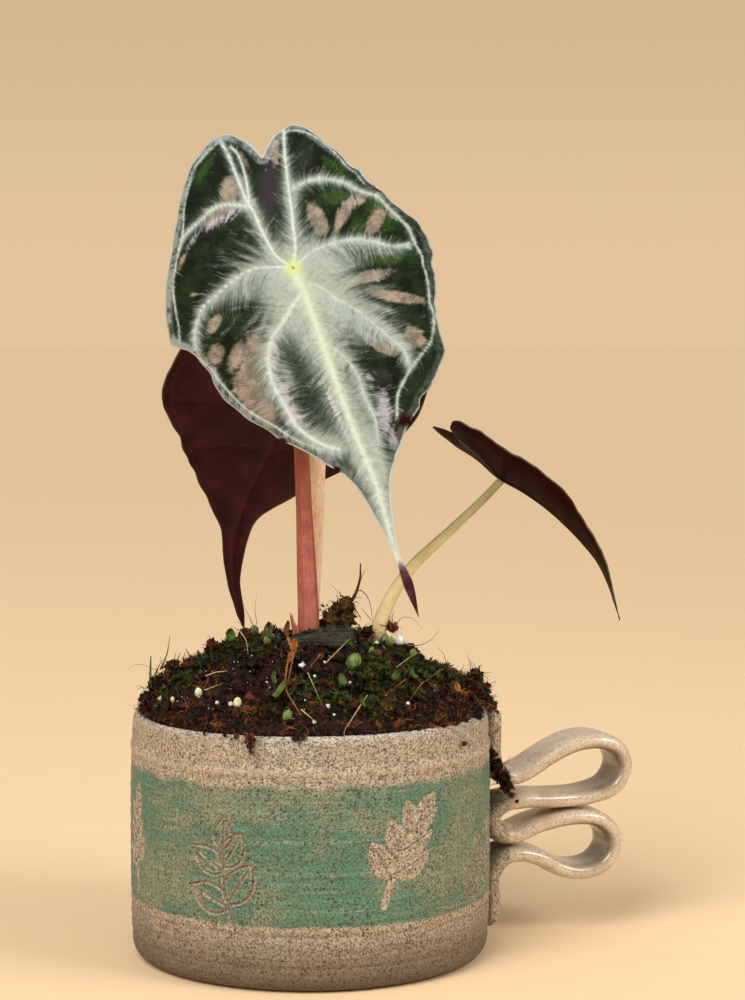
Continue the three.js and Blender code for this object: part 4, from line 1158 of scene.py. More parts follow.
for stalkName, stalkValues in stalks.items():
    buildStalk(stalkName, stalkValues)


# Cup: one turned wall with a rounded lip, throwing rings, a teal band and two kinds of leaf marks.
# grooves: height, depth and width; swell: waves of the wall's profile as rate, start and size.
# The incised lines are "cutDepth" deep with a burr on each side; the bare sprigs lie a little lower.

cup = {
    "height": 58, "baseRadius": 38, "cornerRadius": 3.6, "bellyRadius": 42.7, "bellyHeight": 25,
    "rimRadius": 42, "ringHeight": 50, "ringProud": 0.3, "ringWidth": 0.9, "wall": 3.3, "floor": 5,
    "grooves": [(4.4, 0.16, 0.5), (5.9, 0.3, 0.6), (13, 0.35, 0.6), (14.4, 0.12, 0.4)],
    "swell": ((1.9, 0, 0.05), (3.1, 1, 0.04), (5.3, 2, 0.03)),
    "outerFrom": 40.9, "cutDepth": 0.36, "cutWidth": 0.28, "burrHeight": 0.2, "burrAt": 0.56,
    "burrWidth": 0.18, "bareDepth": 0.06, "bareEdge": 0.12, "steps": 340,
}

# Sprigs on the band. at: degrees round the cup from the front, up: height of the foot,
# lean in degrees, length in mm. Leaflets come in pairs with one at the end.
sprigs = [
    {"at": 24, "up": 19.5, "lean": 16, "length": 28.5, "pairs": 3, "leaflet": 10.4, "kind": "bare"},
    {"at": -68, "up": 18.5, "lean": -14, "length": 25, "pairs": 3, "leaflet": 8.0, "kind": "bare"},
    {"at": 112, "up": 19, "lean": 10, "length": 26, "pairs": 3, "leaflet": 8.4, "kind": "bare"},
    {"at": 196, "up": 19, "lean": -18, "length": 27, "pairs": 3, "leaflet": 8.6, "kind": "bare"},
    {"at": -22, "up": 13.5, "lean": -20, "length": 26.5, "pairs": 2, "leaflet": 11, "kind": "incised"},
    {"at": 62, "up": 12.5, "lean": 14, "length": 24, "pairs": 2, "leaflet": 9.0, "kind": "incised"},
    {"at": 152, "up": 13, "lean": -16, "length": 24, "pairs": 2, "leaflet": 9.0, "kind": "incised"},
    {"at": 238, "up": 13, "lean": 18, "length": 25, "pairs": 2, "leaflet": 9.4, "kind": "incised"},
]


def wallRadius(z):
    rise = (z - cup["bellyHeight"]) / (cup["height"] - cup["bellyHeight"])
    fall = (cup["bellyHeight"] - z) / cup["bellyHeight"]
    drop = cup["bellyRadius"] - cup["rimRadius"]
    return cup["bellyRadius"] - drop * (rise ** 3 if z > cup["bellyHeight"] else fall ** 3)


def throwingLines(z):
    swell = float(waves(z, cup["swell"]))
    for height, depth, width in cup["grooves"]:
        swell -= depth * math.exp(-((z - height) / width * 1.6) ** 2)
    return swell + cup["ringProud"] * math.exp(-((z - cup["ringHeight"]) / cup["ringWidth"]) ** 2)


# Leaflets of a sprig: foot, tip and half width, in mm round the wall and up it
def sprigLeaflets(sprig):
    lean = math.radians(sprig["lean"])
    foot = (math.radians(sprig["at"]) * cup["bellyRadius"], sprig["up"])
    bend = 0.25

    def offset(start, angle, reach):
        return (start[0] + reach * math.sin(angle), start[1] + reach * math.cos(angle))

    def along(share):
        return offset(foot, lean + bend * share, sprig["length"] * share)

    leaflets = []
    for pair in range(sprig["pairs"]):
        share = 0.22 + 0.62 * pair / sprig["pairs"]
        size = sprig["leaflet"] * (1 - 0.14 * pair)
        for sign in (-1, 1):
            base = along(share + 0.04 * (sign > 0))
            angle = lean + bend * share + sign * math.radians(50 - 6 * pair)
            leaflets.append((base, offset(base, angle, size), 0.3 * size))
    top, end = along(0.72), along(1.0)
    leaflets.append((top, end, 0.3 * math.dist(top, end)))
    stem = [along(t / 8) for t in range(8)]
    return leaflets, stem


def segmentDistance(u, z, a, b):
    du, dz = b[0] - a[0], b[1] - a[1]
    share = np.clip(((u - a[0]) * du + (z - a[1]) * dz) / (du * du + dz * dz), 0, 1)
    return np.hypot(u - a[0] - share * du, z - a[1] - share * dz)


# Distance to the midrib of a leaflet, which ends at a share of its length
def ribDistance(u, z, foot, tip, share):
    end = (foot[0] + share * (tip[0] - foot[0]), foot[1] + share * (tip[1] - foot[1]))
    return segmentDistance(u, z, foot, end)


# Outline of one leaflet as points: pointed at both ends, widest below the middle
def leafletOutline(foot, tip, half):
    du, dz = tip[0] - foot[0], tip[1] - foot[1]
    size = math.hypot(du, dz)
    du, dz = du / size, dz / size
    points = []
    for sign, shares in ((1, np.linspace(0, 1, 15)), (-1, np.linspace(1, 0, 15)[1:-1])):
        for t in shares:
            width = sign * half * math.sin(math.pi * t ** 0.82) ** 0.85
            points.append((foot[0] + du * size * t - dz * width, foot[1] + dz * size * t + du * width))
    return points


def outlineDistance(u, z, outline):
    distance = np.full(u.shape, farOff)
    inside = np.zeros(u.shape, bool)
    for a, b in zip(outline, outline[1:] + outline[:1]):
        distance = np.minimum(distance, segmentDistance(u, z, a, b))
        crosses = (a[1] > z) != (b[1] > z)
        with np.errstate(divide="ignore", invalid="ignore"):
            where = (b[0] - a[0]) * (z - a[1]) / (b[1] - a[1]) + a[0]
        inside ^= crosses & (u < where)
    return distance, inside


# Distance to the bare sprigs (negative inside) and to the incised lines, in mm on the wall,
# no more than 9
def wallMarks(angle, z):
    bare = np.full(z.shape, 9.0)
    cut = np.full(z.shape, 9.0)
    for sprig in sprigs:
        centre = math.radians(sprig["at"])
        turn = (angle - centre + math.pi) % (2 * math.pi) - math.pi
        near = np.abs(turn) < 0.75
        u = (turn[near] + centre) * cup["bellyRadius"]
        height = z[near]
        leaflets, stem = sprigLeaflets(sprig)
        found = np.full(u.shape, 9.0)
        for a, b in zip(stem[:-1], stem[1:]):
            found = np.minimum(found, segmentDistance(u, height, a, b))
        plain = sprig["kind"] == "bare"
        if plain:
            found -= 0.9
        for foot, tip, half in leaflets:
            distance, inside = outlineDistance(u, height, leafletOutline(foot, tip, half))
            if plain:
                found = np.minimum(found, np.where(inside, -distance, distance))
                cut[near] = np.minimum(cut[near], ribDistance(u, height, foot, tip, 0.8) + 0.12)
            else:
                found = np.minimum(found, distance)
                found = np.where(inside, np.minimum(found, ribDistance(u, height, foot, tip, 0.75)), found)
        marks = bare if plain else cut
        marks[near] = np.minimum(marks[near], found)
    return bare, cut


def cupProfile():
    wall, floor, corner, base = cup["wall"], cup["floor"], cup["cornerRadius"], cup["baseRadius"]
    profile = [(0, 0.9), (30, 0.9), (33, 0.5), (35.2, 0.05), (base, 0)]
    turned = wallRadius(corner)
    for i in range(1, 9):
        t = i / 8
        profile.append(((1 - t) ** 2 * base + 2 * t * (1 - t) * (turned - 0.4) + t * t * turned,
                        2 * t * (1 - t) * 0.2 + t * t * corner))
    z = corner + 0.25
    while z < 55.9:
        profile.append((wallRadius(z) + throwingLines(z), z))
        z += 0.5 if 11 < z < 49 else 0.3
    lip = wall / 2
    middle, level = cup["rimRadius"] - lip, cup["height"] - lip
    for i in range(13):
        angle = math.pi * i / 12
        profile.append((middle + lip * math.cos(angle), level + lip * math.sin(angle)))
    for z in (54, 50, 45, 40, 34, 28, 22, 16, 10, 8):
        profile.append((wallRadius(z) - wall, z))
    foot = wallRadius(floor) - wall
    inner = [(foot - 1, floor + 1.6), (foot - 2.2, floor + 0.4), (foot - 4, floor), (20, floor), (0, floor)]
    return profile + inner


def buildCup():
    bm = bmesh.new()
    verts = [bm.verts.new((0, -r * mm, z * mm)) for r, z in cupProfile()]
    edges = [bm.edges.new(pair) for pair in zip(verts[:-1], verts[1:])]
    bmesh.ops.spin(bm, geom=verts + edges, cent=(0, 0, 0), axis=(0, 0, 1), angle=2 * math.pi,
                   steps=cup["steps"], use_merge=True)
    bmesh.ops.remove_doubles(bm, verts=bm.verts, dist=1e-6)
    bmesh.ops.recalc_face_normals(bm, faces=bm.faces)
    # finer faces beside the incised lines
    outerFrom = cup["outerFrom"]
    for width in (1.3, 0.8):
        outer = [v for v in bm.verts
                 if math.hypot(v.co.x, v.co.y) > outerFrom * mm and 8 * mm < v.co.z < 52 * mm]
        angle = np.array([math.atan2(v.co.x, -v.co.y) for v in outer])
        bare, cut = wallMarks(angle, np.array([v.co.z / mm for v in outer]))
        close = {v for v, distance in zip(outer, cut) if distance < width}
        chosen = [e for e in bm.edges if e.verts[0] in close and e.verts[1] in close]
        bmesh.ops.subdivide_edges(bm, edges=chosen, cuts=1, use_grid_fill=True)
    mesh = meshFrom(bm, "cup")
    points = readPoints(mesh).astype(float) / mm
    z = points[:, 2]
    radius = np.hypot(points[:, 0], points[:, 1])
    angle = np.arctan2(points[:, 0], -points[:, 1])
    outside = (radius > outerFrom) & (z > 3)
    bare = np.full(radius.shape, 9.0)
    cut = np.full(radius.shape, 9.0)
    bare[outside], cut[outside] = wallMarks(angle[outside], z[outside])
    # the hand-made wall is not quite round, the lines are cut in and the lip rises and falls
    wobble = 0.1 * np.sin(3 * angle + 0.05 * z) + 0.05 * np.sin(7 * angle + 0.11 * z + 1)
    push = wobble * np.clip((radius - 30) / 8, 0, 1)
    groove = cup["burrHeight"] * np.exp(-((cut - cup["burrAt"]) / cup["burrWidth"]) ** 2)
    groove -= cup["cutDepth"] * np.exp(-(cut / cup["cutWidth"]) ** 2)
    groove -= cup["bareDepth"] / (1 + np.exp(np.clip(bare / cup["bareEdge"], -30, 30)))
    push += np.where(outside, groove, 0)
    points[:, :2] *= (1 + push / np.maximum(radius, 1))[:, None]
    above = np.maximum(z - cup["ringHeight"], 0) / (cup["height"] - cup["ringHeight"])
    points[:, 2] += above * 0.18 * np.sin(2 * angle + 0.8)
    writePoints(mesh, points * mm)
    paintPoints(mesh, {"bare": bare, "cut": cut})
    return mesh


clayColours = {
    "clayWarm": srgb(190, 168, 144), "clayCool": srgb(176, 164, 142), "clayPale": srgb(218, 202, 178),
    # the lip tone is a painted highlight along the top of the rim
    "teal": srgb(78, 136, 114), "tealThin": srgb(120, 142, 114), "lip": srgb(226, 220, 208),
    # the burr tone is partly a painted highlight on the raised edges of the cut lines, the groove tone
    # painted shade in the cuts
    "burr": srgb(200, 180, 158), "groove": srgb(104, 86, 68), "ring": srgb(206, 190, 166),
    # the foot tone is painted shade for the lower wall near the floor
    "streak": srgb(214, 204, 188), "foot": srgb(70, 55, 41),
    # the last tone is painted shade for the bends of the handle's loops
    "strapGlaze": srgb(222, 203, 180), "strapCloud": srgb(172, 148, 120), "strapBendShade": srgb(88, 69, 50),
}


def clayBody(tree, place):
    warm = remap(tree, grain(tree, place, 45), 0.38, 0.62)
    pale = remap(tree, grain(tree, place, 420), 0.3, 0.7, 0.0, 0.5)
    return layered(tree, clayColours["clayCool"], (warm, clayColours["clayWarm"]),
                   (pale, clayColours["clayPale"]))


def buildStoneware():
    material, tree, shader = newMaterial("speckledStoneware")
    colours = clayColours
    place = objectPlace(tree)
    height = heightMm(tree)
    # the teal band has ragged borders and leaves the bare sprigs free
    ragged = centred(tree, grain(tree, place, 130, 4.0, 0.65), 7.0)
    lowRagged = centred(tree, grain(tree, place, 160), 1.6)
    bareRagged = centred(tree, grain(tree, place, 700, 2.0), 0.5)
    band = times(tree, remap(tree, add(tree, height, ragged), 45.6, 47.6, 1.0, 0.0),
                 remap(tree, add(tree, height, lowRagged), 15.0, 15.7))
    band = times(tree, band, remap(tree, add(tree, painted(tree, "bare"), bareRagged), -0.1, 0.12))
    # brushed on in uneven turns
    wash = grain(tree, objectPlace(tree, (1, 1, 1.6)), 36, 4.0, 0.6)
    brush = grain(tree, objectPlace(tree, (1, 1, 9)), 32, 4.0, 0.6)
    fineBrush = grain(tree, objectPlace(tree, (1, 1, 14)), 110, 3.0, 0.6)
    streaks = grain(tree, objectPlace(tree, (1, 1, 22)), 60)
    cover = remap(tree, weighted(tree, (wash, 0.5), (brush, 0.3), (fineBrush, 0.2)), 0.36, 0.54, 0.72, 0.97)
    full = remap(tree, weighted(tree, (wash, 0.84), (fineBrush, 0.16)), 0.41, 0.56)
    cut = painted(tree, "cut")
    ring = calc(tree, "ABSOLUTE", calc(tree, "SUBTRACT", height, cup["ringHeight"]))
    ring = remap(tree, ring, 0.3, 1.2, 0.55, 0.0)
    colour = layered(
        tree, clayBody(tree, place),
        (times(tree, band, cover), blend(tree, full, colours["tealThin"], colours["teal"])),
        # pale burrs beside the cut lines, partly a painted highlight on their raised edges, and the cuts
        # darkened as painted shade
        (remap(tree, cut, 0.36, 0.84, 0.62, 0.0), colours["burr"]),
        (remap(tree, cut, 0.05, 0.32, 0.6, 0.0), colours["groove"]),
        (ring, colours["ring"]),
        # painted highlight: a pale line along the top of the lip
        (remap(tree, height, 57.2, 57.8, 0.0, 0.6), colours["lip"]),
        (remap(tree, streaks, 0.55, 0.72, 0.0, 0.22), colours["streak"]),
        # painted shade: the wall is darker towards the foot, up to 19 mm, for the shade low on the wall near
        # the floor
        (remap(tree, height, 1.0, 19.0, 0.8, 0.0), colours["foot"]))
    specks = useGroup(tree, ironSpecks, Body=colour, Strength=remap(tree, ring, 0.1, 0.55, 0.95, 0.7))
    rough = calc(tree, "SUBTRACT", 0.72, times(tree, band, 0.16))
    pits = weighted(tree, (specks["Specks"], -0.5), (grain(tree, place, 1500), 0.9), (streaks, 0.9))
    dress(tree, shader, specks["Colour"], rough, 0.35, pits, 0.5, 0.14)
    return material


finishPiece("speckled_cup", buildCup(), [buildStoneware()], node="cup")


# Handle: a flat strap bent into two loops beside the wall. line: distance from the axis and
# height; flat and rounded: how square the section is across and through; pull: waves of its
# width; taper: the share of its length over which each end thins out.

handle = {
    "turn": math.radians(18), "width": 13.5, "thickness": 4.2, "rows": 420, "columns": 40,
    "flat": 0.55, "rounded": 0.72, "pull": ((31, 0, 0.03), (57, 1, 0.02)), "taper": 0.012,
    "line": [(44.7, 56.8), (44.7, 50), (44.8, 44.4), (46.5, 40.6), (50, 39.4), (54.5, 40.9), (60, 44),
             (66.3, 46.6), (72.6, 47), (77.5, 44.8), (79.1, 40.4), (76.6, 35.6), (69.8, 33.4), (61, 33.1),
             (52.4, 33.5), (47.2, 32.6), (44.7, 29.6), (46.3, 25.8), (50, 25), (57, 27.2), (65.6, 28.6),
             (71.9, 27.8), (76, 24.4), (76.3, 19.8), (73.2, 16.1), (67.8, 14.9), (62.6, 16), (57, 19),
             (51.8, 20.4), (47.6, 19.6), (44.7, 15.6), (44.7, 9), (44, 3.2)],
}


def squared(values, power):
    return np.sign(values) * np.abs(values) ** power


def buildHandle():
    rows = handle["rows"]
    line = evenPoints([(r, 0, z) for r, z in handle["line"]], rows + 1)
    tangent = unit(np.gradient(line, axis=0))
    angle = np.linspace(0, 2 * math.pi, handle["columns"] + 1)
    deep = handle["thickness"] / 2
    across = handle["width"] / 2 * squared(np.cos(angle), handle["flat"])
    out = deep * squared(np.sin(angle), handle["rounded"])
    share = np.linspace(0, 1, rows + 1)
    pull = 1 + waves(share, handle["pull"])
    ends = np.clip(np.minimum(share, 1 - share) / handle["taper"], 0.05, 1)[:, None] ** 0.5
    x = line[:, None, 0] + tangent[:, None, 2] * out[None, :] * ends
    z = line[:, None, 2] - tangent[:, None, 0] * out[None, :] * ends
    y = (across[None, :] * pull[:, None]) * (0.6 + 0.4 * ends)
    turn = handle["turn"]
    cosine, sine = math.cos(turn), math.sin(turn)
    points = np.stack([x * cosine - y * sine, x * sine + y * cosine, z], axis=-1)
    # how deep a point lies in the bend of a loop, where the glaze colour is darkened as painted shade
    inside = np.clip(out / deep, 0, 1)[None, :] * np.clip((line[:, 0] - 58) / 15, 0, 1)[:, None]
    return closeEnds(mappedGrid("handle", points, {"inside": inside}))


def buildStrapGlaze():
    material, tree, shader = newMaterial("satinStrapGlaze")
    colours = clayColours
    place = objectPlace(tree)
    specks = useGroup(tree, ironSpecks, Body=clayBody(tree, place), Strength=0.95)
    glazeSpecks = useGroup(tree, ironSpecks, Body=colours["strapGlaze"], Strength=0.45)
    reach = times(tree, axisDistance(tree, place), 1 / mm)
    ragged = centred(tree, grain(tree, place, 220), 3.0)
    glazed = remap(tree, add(tree, reach, ragged), 47.8, 49.6)
    cloud = remap(tree, grain(tree, place, 150, 5.0, 0.65), 0.42, 0.66, 0.0, 0.55)
    # painted shade: the glaze colour is darkened in the bends of the loops, where shade falls inside them
    lustre = layered(tree, glazeSpecks["Colour"], (cloud, colours["strapCloud"]),
                     (times(tree, painted(tree, "inside"), 0.86), colours["strapBendShade"]))
    rough = add(tree, weighted(tree, (glazed, -0.42), (cloud, 0.12)), 0.68)
    dents = add(tree, grain(tree, place, 260), times(tree, specks["Specks"], -0.15))
    colour = blend(tree, glazed, specks["Colour"], lustre)
    dress(tree, shader, colour, rough, height=dents, strength=0.35, depth=0.3)
    feed(tree, shader.inputs["Metallic"], times(tree, glazed, 0.06))
    feed(tree, shader.inputs["Coat Weight"], times(tree, glazed, 0.8))
    shader.inputs["Coat Roughness"].default_value = 0.2
    return material


finishPiece("strap_handle", buildHandle(), [buildStrapGlaze()], node="handle")


# Peat mound. profile: radius and height; shoulders: where the mound is banked up, and how far.
# Below "skirt" of the way out, the surface turns down inside the cup.

peat = {
    "profile": [(0, 75.8), (10, 75.4), (17, 74.4), (22, 72.4), (27, 69.6), (32, 66.8), (36.5, 63),
                (38.6, 59.2), (38.65, 56.5)],
    "shoulders": [(-33, 1.0), (37, 2.4)], "settled": 1.7, "radius": 38.6, "skirt": 0.93, "bottom": 40.0,
    "onPeat": 38.4, "rings": 96, "sides": 260, "seed": 41,
    "crumbs": 7000, "fibres": 3600, "rustFibres": 500, "mossTufts": 3000, "perliteDustAndGlints": 240,
}


def moundHeight(x, y):
    radius = np.hypot(x, y)
    profile = np.array(peat["profile"])
    level = np.interp(radius, profile[:, 0], profile[:, 1])
    inner = 1 - np.minimum(radius / 38.2, 1) ** 4
    lumps = (np.sin(0.31 * x + 1.3) * np.cos(0.27 * y - 0.4) + 0.7 * np.sin(0.55 * x - 0.48 * y + 2)
             + 0.5 * np.cos(0.83 * x + 0.61 * y))
    rise = sum(height * np.exp(-(((x - middle) / 6) ** 2 + (y / 16) ** 2))
               for middle, height in peat["shoulders"])
    return level + inner * 0.65 * lumps + rise * np.clip((39 - radius) / 4, 0, 1)


# Height with the clods and hollows of loose peat
def moundTop(x, y):
    spot = Vector((x, y, 3.0))
    rough = 1.5 * noise.fractal(spot * 0.36, 0.9, 2.1, 4) + 0.7 * abs(noise.noise(spot * 1.5))
    inner = min(max((38 - math.hypot(x, y)) / 4, 0), 1)
    return float(moundHeight(x, y)) + rough * max(inner, 0.25) - peat["settled"] * inner


# Stands of moss on the mound: x, y, reach in mm and how thick it grows
mossStands = [(16, -22, 5, 0.9), (23, -20, 4, 0.7), (8, -30, 4, 0.8), (13, -30, 4, 0.7), (-1, -28, 4, 0.6),
              (15, -13, 4, 0.6), (26, -7, 5, 0.7), (33, -5, 5, 0.7), (-19, 0, 5, 0.8), (-6, -32, 3, 0.6),
              (-35, -11, 4, 0.8), (-29, -9, 5, 0.6), (-24, -6, 5, 0.6), (4, -32, 4, 0.6), (-12, -8, 5, 0.5),
              (-10, 18, 8, 0.7), (14, 22, 8, 0.7), (-26, 14, 6, 0.5), (0, 31, 6, 0.5), (30, 12, 6, 0.6)]


def mossAmount(x, y):
    return max(thick * math.exp(-((x - a) ** 2 + (y - b) ** 2) / reach ** 2)
               for a, b, reach, thick in mossStands)


def buildMound():
    angles = np.linspace(0, 2 * math.pi, peat["sides"] + 1)
    shares = np.linspace(0, 1, peat["rings"] + 1)
    points = np.zeros((len(shares), len(angles), 3))
    for i, share in enumerate(shares):
        radius = peat["radius"] * min(share / peat["skirt"], 1)
        below = min(max((share - peat["skirt"]) / (1 - peat["skirt"]), 0), 1)
        for j, angle in enumerate(angles):
            x, y = radius * math.cos(angle), radius * math.sin(angle)
            points[i, j] = (x, y, moundTop(x, y) * (1 - below) + peat["bottom"] * below)
    return closeEnds(mappedGrid("soil", points))


# Damp earth and old roots. shaded: the pieces' own random shades tell the dark from the rusty.
def buildPeatMaterial(name, dark, light, rust, wet=0.55, shaded=False):
    material, tree, shader = newMaterial(name)
    place = objectPlace(tree)
    ground = useGroup(tree, mottle, Scale=520.0, Dark=dark, Light=light, Contrast=1.1)["Colour"]
    lumps = remap(tree, grain(tree, place, 210), 0.52, 0.68, 0.0, 0.7)
    if shaded:
        shade = painted(tree, "shade")
        ground = blend(tree, remap(tree, shade, 0.3, 0.85), blend(tree, 0.85, ground, dark), ground)
        lumps = remap(tree, add(tree, shade, times(tree, lumps, 0.3)), 0.86, 1.06, 0.0, 0.9)
    rough = remap(tree, grain(tree, place, 900, 2.0), 0.35, 0.7, wet - 0.2, wet + 0.3)
    pores = grain(tree, place, 1300, 4.0, 0.65)
    dress(tree, shader, blend(tree, lumps, ground, rust), rough, 0.14, pores, 0.9, 0.4)
    return material


peatDark = srgb(9, 5, 3)
peatMaterial = buildPeatMaterial("peat", peatDark, srgb(34, 17, 9), srgb(62, 28, 12), 0.5)
crumbMaterial = buildPeatMaterial("peatCrumbs", peatDark, srgb(60, 29, 14), srgb(112, 60, 33), 0.46, True)
finishPiece("peat_mound", buildMound(), [peatMaterial], node="soil")


# Random placing. A random turn goes a little past a full one.
randomTurn = 6.3


def anyTurn(rng):
    return tuple(rng.uniform(0, randomTurn) for axis in range(3))


# Upright but for a small lean, and turned at random
def leaning(rng, lean):
    return (rng.uniform(-lean, lean), rng.uniform(-lean, lean), rng.uniform(0, randomTurn))


# A spot near a centre: shares are the spread along x, y and z for a reach of one
def nearby(rng, centre, reach, shares):
    return tuple(middle + rng.gauss(0, share) * reach for middle, share in zip(centre, shares))


def onRing(radius, angle):
    return radius * math.cos(angle), radius * math.sin(angle)


# A spot anywhere on a disc
def onDisc(rng, reach):
    radius = reach * math.sqrt(rng.random())
    return onRing(radius, rng.uniform(0, 2 * math.pi))


def roundTemplates(name, count, detail, shape):
    templates = []
    for number in range(count):
        bm = bmesh.new()
        bmesh.ops.create_icosphere(bm, subdivisions=detail, radius=0.5)
        for vert in bm.verts:
            shape(vert, number)
        templates.append(meshFrom(bm, name + str(number)))
    return templates


def crumbTemplates(rng, count=6, detail=1):
    def shape(vert, number):
        vert.co *= 0.7 + 0.6 * rng.random()

    return roundTemplates("crumb", count, detail, shape)


# Clods that stand on the mound's edge, hang over the lip or cling to the handle: place and reach
clods = [
    (37.2, -4, 62.6, 3.4), (38.9, -6, 63.5, 3.0), (35.4, -6, 64.2, 2.6), (38.9, -4, 66.2, 2.1),
    (40.6, -3, 62.2, 2.3), (40.9, -4, 63.4, 1.9), (-32.2, -7, 68.8, 2.2), (-35.6, -8, 64.4, 2.6),
    (-29, -6, 68.4, 1.8), (-37.8, -9, 61.4, 2.4), (-15, -5, 76.4, 1.9), (-23, -3, 73.6, 1.6),
    (17.2, 2.2, 77.6, 2.0), (19.6, 0.8, 77.4, 1.5), (13.6, -2, 76.6, 1.6), (36, 14, 62, 3.0),
    (-34, 14, 63, 2.8), (8, 36, 62, 2.6), (-14, 34, 63, 2.4), (24, 29, 62, 2.4), (-12.6, -41.2, 57.9, 1.3),
    (-12.4, -42.3, 56.4, 0.9), (-12.2, -42.9, 55.2, 0.5), (-23, -35.2, 58, 0.4), (-18.2, -38, 58.1, 0.5),
    (-15.7, -39.2, 58, 0.6), (-2.2, -41.8, 58, 0.9), (-0.6, -41.8, 58.2, 0.6), (31, -26.4, 58.8, 1.3),
    (33.6, -23.4, 59, 1.5), (36, -19, 59.4, 1.6), (39.4, -13, 59.2, 1.7), (35.8, -24.3, 53.7, 0.7),
    (26, 33.4, 58, 0.8), (-20, 37.4, 58, 0.7), (43.4, 7.4, 45.8, 1.5), (44.6, 7.1, 42.9, 2.0),
    (45.8, 7, 40.3, 2.2), (47, 7, 37.8, 1.8), (48.2, 7.1, 35.6, 0.9), (49.6, 7, 34.3, 0.5),
    (42.4, 7.6, 58.2, 1.6), (43.8, 9, 57.4, 1.2), (44.8, 8.6, 55.4, 0.7),
]


# Crumbs of peat, in mm: a fifth lies along the wall, every 31st is a lump, and those on the
# lip stay small. The clods have kinds of their own, which are finer.
crumbForm = {"kinds": 6, "clodKinds": 3, "reach": 40.3, "wallFrom": 35.5, "wallTo": 40.6, "lip": 58.0,
             "lipMost": 1.4}


def buildCrumbs():
    rng = random.Random(peat["seed"])
    form = crumbForm
    places = []
    for number in range(peat["crumbs"]):
        radius = form["reach"] * math.sqrt(rng.random())
        angle = rng.uniform(0, 2 * math.pi)
        if number % 5 == 0:
            radius = rng.uniform(form["wallFrom"], form["wallTo"])
        x, y = onRing(radius, angle)
        size = 0.45 + 1.3 * rng.random() ** 2.4
        if number % 31 == 0:
            size = rng.uniform(2.2, 3.8)
        if radius > peat["onPeat"]:
            size = min(size, form["lipMost"])
            z = form["lip"] + rng.uniform(-0.2, 0.8)
        else:
            z = moundTop(x, y) + rng.uniform(-0.3, 0.5) * size
        shape = (size, size * rng.uniform(0.5, 1.2), size * rng.uniform(0.4, 1.0))
        turn = anyTurn(rng)
        places.append((rng.randrange(form["kinds"]), placeMatrix((x, y, z), turn, shape)))
    for x, y, z, reach in clods:
        turn = (rng.uniform(0, randomTurn), rng.uniform(0, randomTurn), 0)
        kind = form["kinds"] + rng.randrange(form["clodKinds"])
        places.append((kind, placeMatrix((x, y, z), turn, 1.5 * reach)))
        for number in range(int(14 + 16 * reach)):
            offset = Vector([rng.gauss(0, 1) for axis in range(3)]).normalized() * reach
            offset *= rng.uniform(0.5, 1.0)
            size = rng.uniform(0.3, 0.75) * min(reach, 2) * 0.8
            turn = anyTurn(rng)
            spot = (x + offset.x, y + offset.y, z + offset.z)
            shape = (size, 0.8 * size, 0.6 * size)
            places.append((rng.randrange(form["kinds"]), placeMatrix(spot, turn, shape)))
    lumps = crumbTemplates(rng, form["clodKinds"], 3)
    for template in lumps:
        points = unit(readPoints(template))
        size = [0.5 + 0.3 * noise.fractal(Vector(point) * 1.8, 0.8, 2.1, 4) for point in points]
        writePoints(template, points * np.array(size)[:, None])
    return scatterMesh("peatCrumbs", crumbTemplates(rng, form["kinds"]) + lumps, places)


finishPiece("peat_crumbs", buildCrumbs(), [crumbMaterial], smooth=False)


# One curled strand that starts at a point and wanders
def wander(rng, start, heading, length, steps=5, curl=0.5, drop=0.0):
    points = [tuple(start)]
    direction = Vector(heading).normalized()
    position = Vector(start)
    for number in range(steps):
        direction += Vector([rng.uniform(-curl, curl) - fall for fall in (0, 0, drop)])
        direction.normalize()
        position = position + direction * (length / steps)
        points.append(tuple(position))
    return points


# Rust-coloured tufts of fibre: x and y on the mound
fibreTufts = [(17.7, -13.7), (18.7, -30.7), (33.7, -12.3), (35.8, -9.2), (20.7, -32.2), (28.7, -14.5),
              (-12.8, -33.7), (-3.1, -17.1), (-23.7, -20.5), (-26.9, -24.3), (-15.2, -5.2), (-4, -27.3),
              (37, -5), (2, -34), (10, -37), (-20, -33), (30, -24), (-20, 20), (10, 30), (30, 20), (0, 15),
              (-4, -38), (14, 2), (-32, -9)]

# Loose fibres lie all over the mound and the lip, in tufts and on the clods. A quarter lies
# along the wall. tuftSize and clodSize: how many strands, for the clods for each mm of reach.
fibreForm = {"reach": 40.2, "wallFrom": 33, "wallTo": 41, "lip": 58.6, "tuftSize": 26, "clodSize": 7}


def buildFibres(name, count, seed, longest, radius, tufts=()):
    rng = random.Random(seed)
    form = fibreForm
    strands = []

    def grow(start, low, length, curl, drop, finest, thickest):
        heading = (rng.uniform(-1, 1), rng.uniform(-1, 1), rng.uniform(low, 0.9))
        points = wander(rng, start, heading, length(), 4, curl, drop)
        strands.append((points, radius * rng.uniform(finest, thickest)))

    for number in range(count):
        reach = form["reach"] * math.sqrt(rng.random())
        if number % 4 == 0:
            reach = rng.uniform(form["wallFrom"], form["wallTo"])
        x, y = onRing(reach, rng.uniform(0, 2 * math.pi))
        z = moundTop(x, y) if reach < peat["onPeat"] else form["lip"]
        grow((x, y, z), -0.2, lambda: rng.uniform(1.2, longest), 0.7, 0.14, 0.6, 1.4)
    for x, y in tufts:
        for number in range(form["tuftSize"]):
            start = (*nearby(rng, (x, y), 1, (0.9, 0.9)), moundTop(x, y) + rng.uniform(0, 0.8))
            grow(start, -0.1, lambda: rng.uniform(1.2, 4), 0.8, 0.1, 0.6, 1.3)
    for x, y, z, reach in clods:
        for number in range(int(3 + form["clodSize"] * reach)):
            start = nearby(rng, (x, y, z), reach, (0.5, 0.5, 0.4))
            grow(start, -0.8, lambda: rng.uniform(0.8, 1.6) * reach + 0.6, 0.8, 0.0, 0.5, 1.0)
    return strandMesh(name, strands)


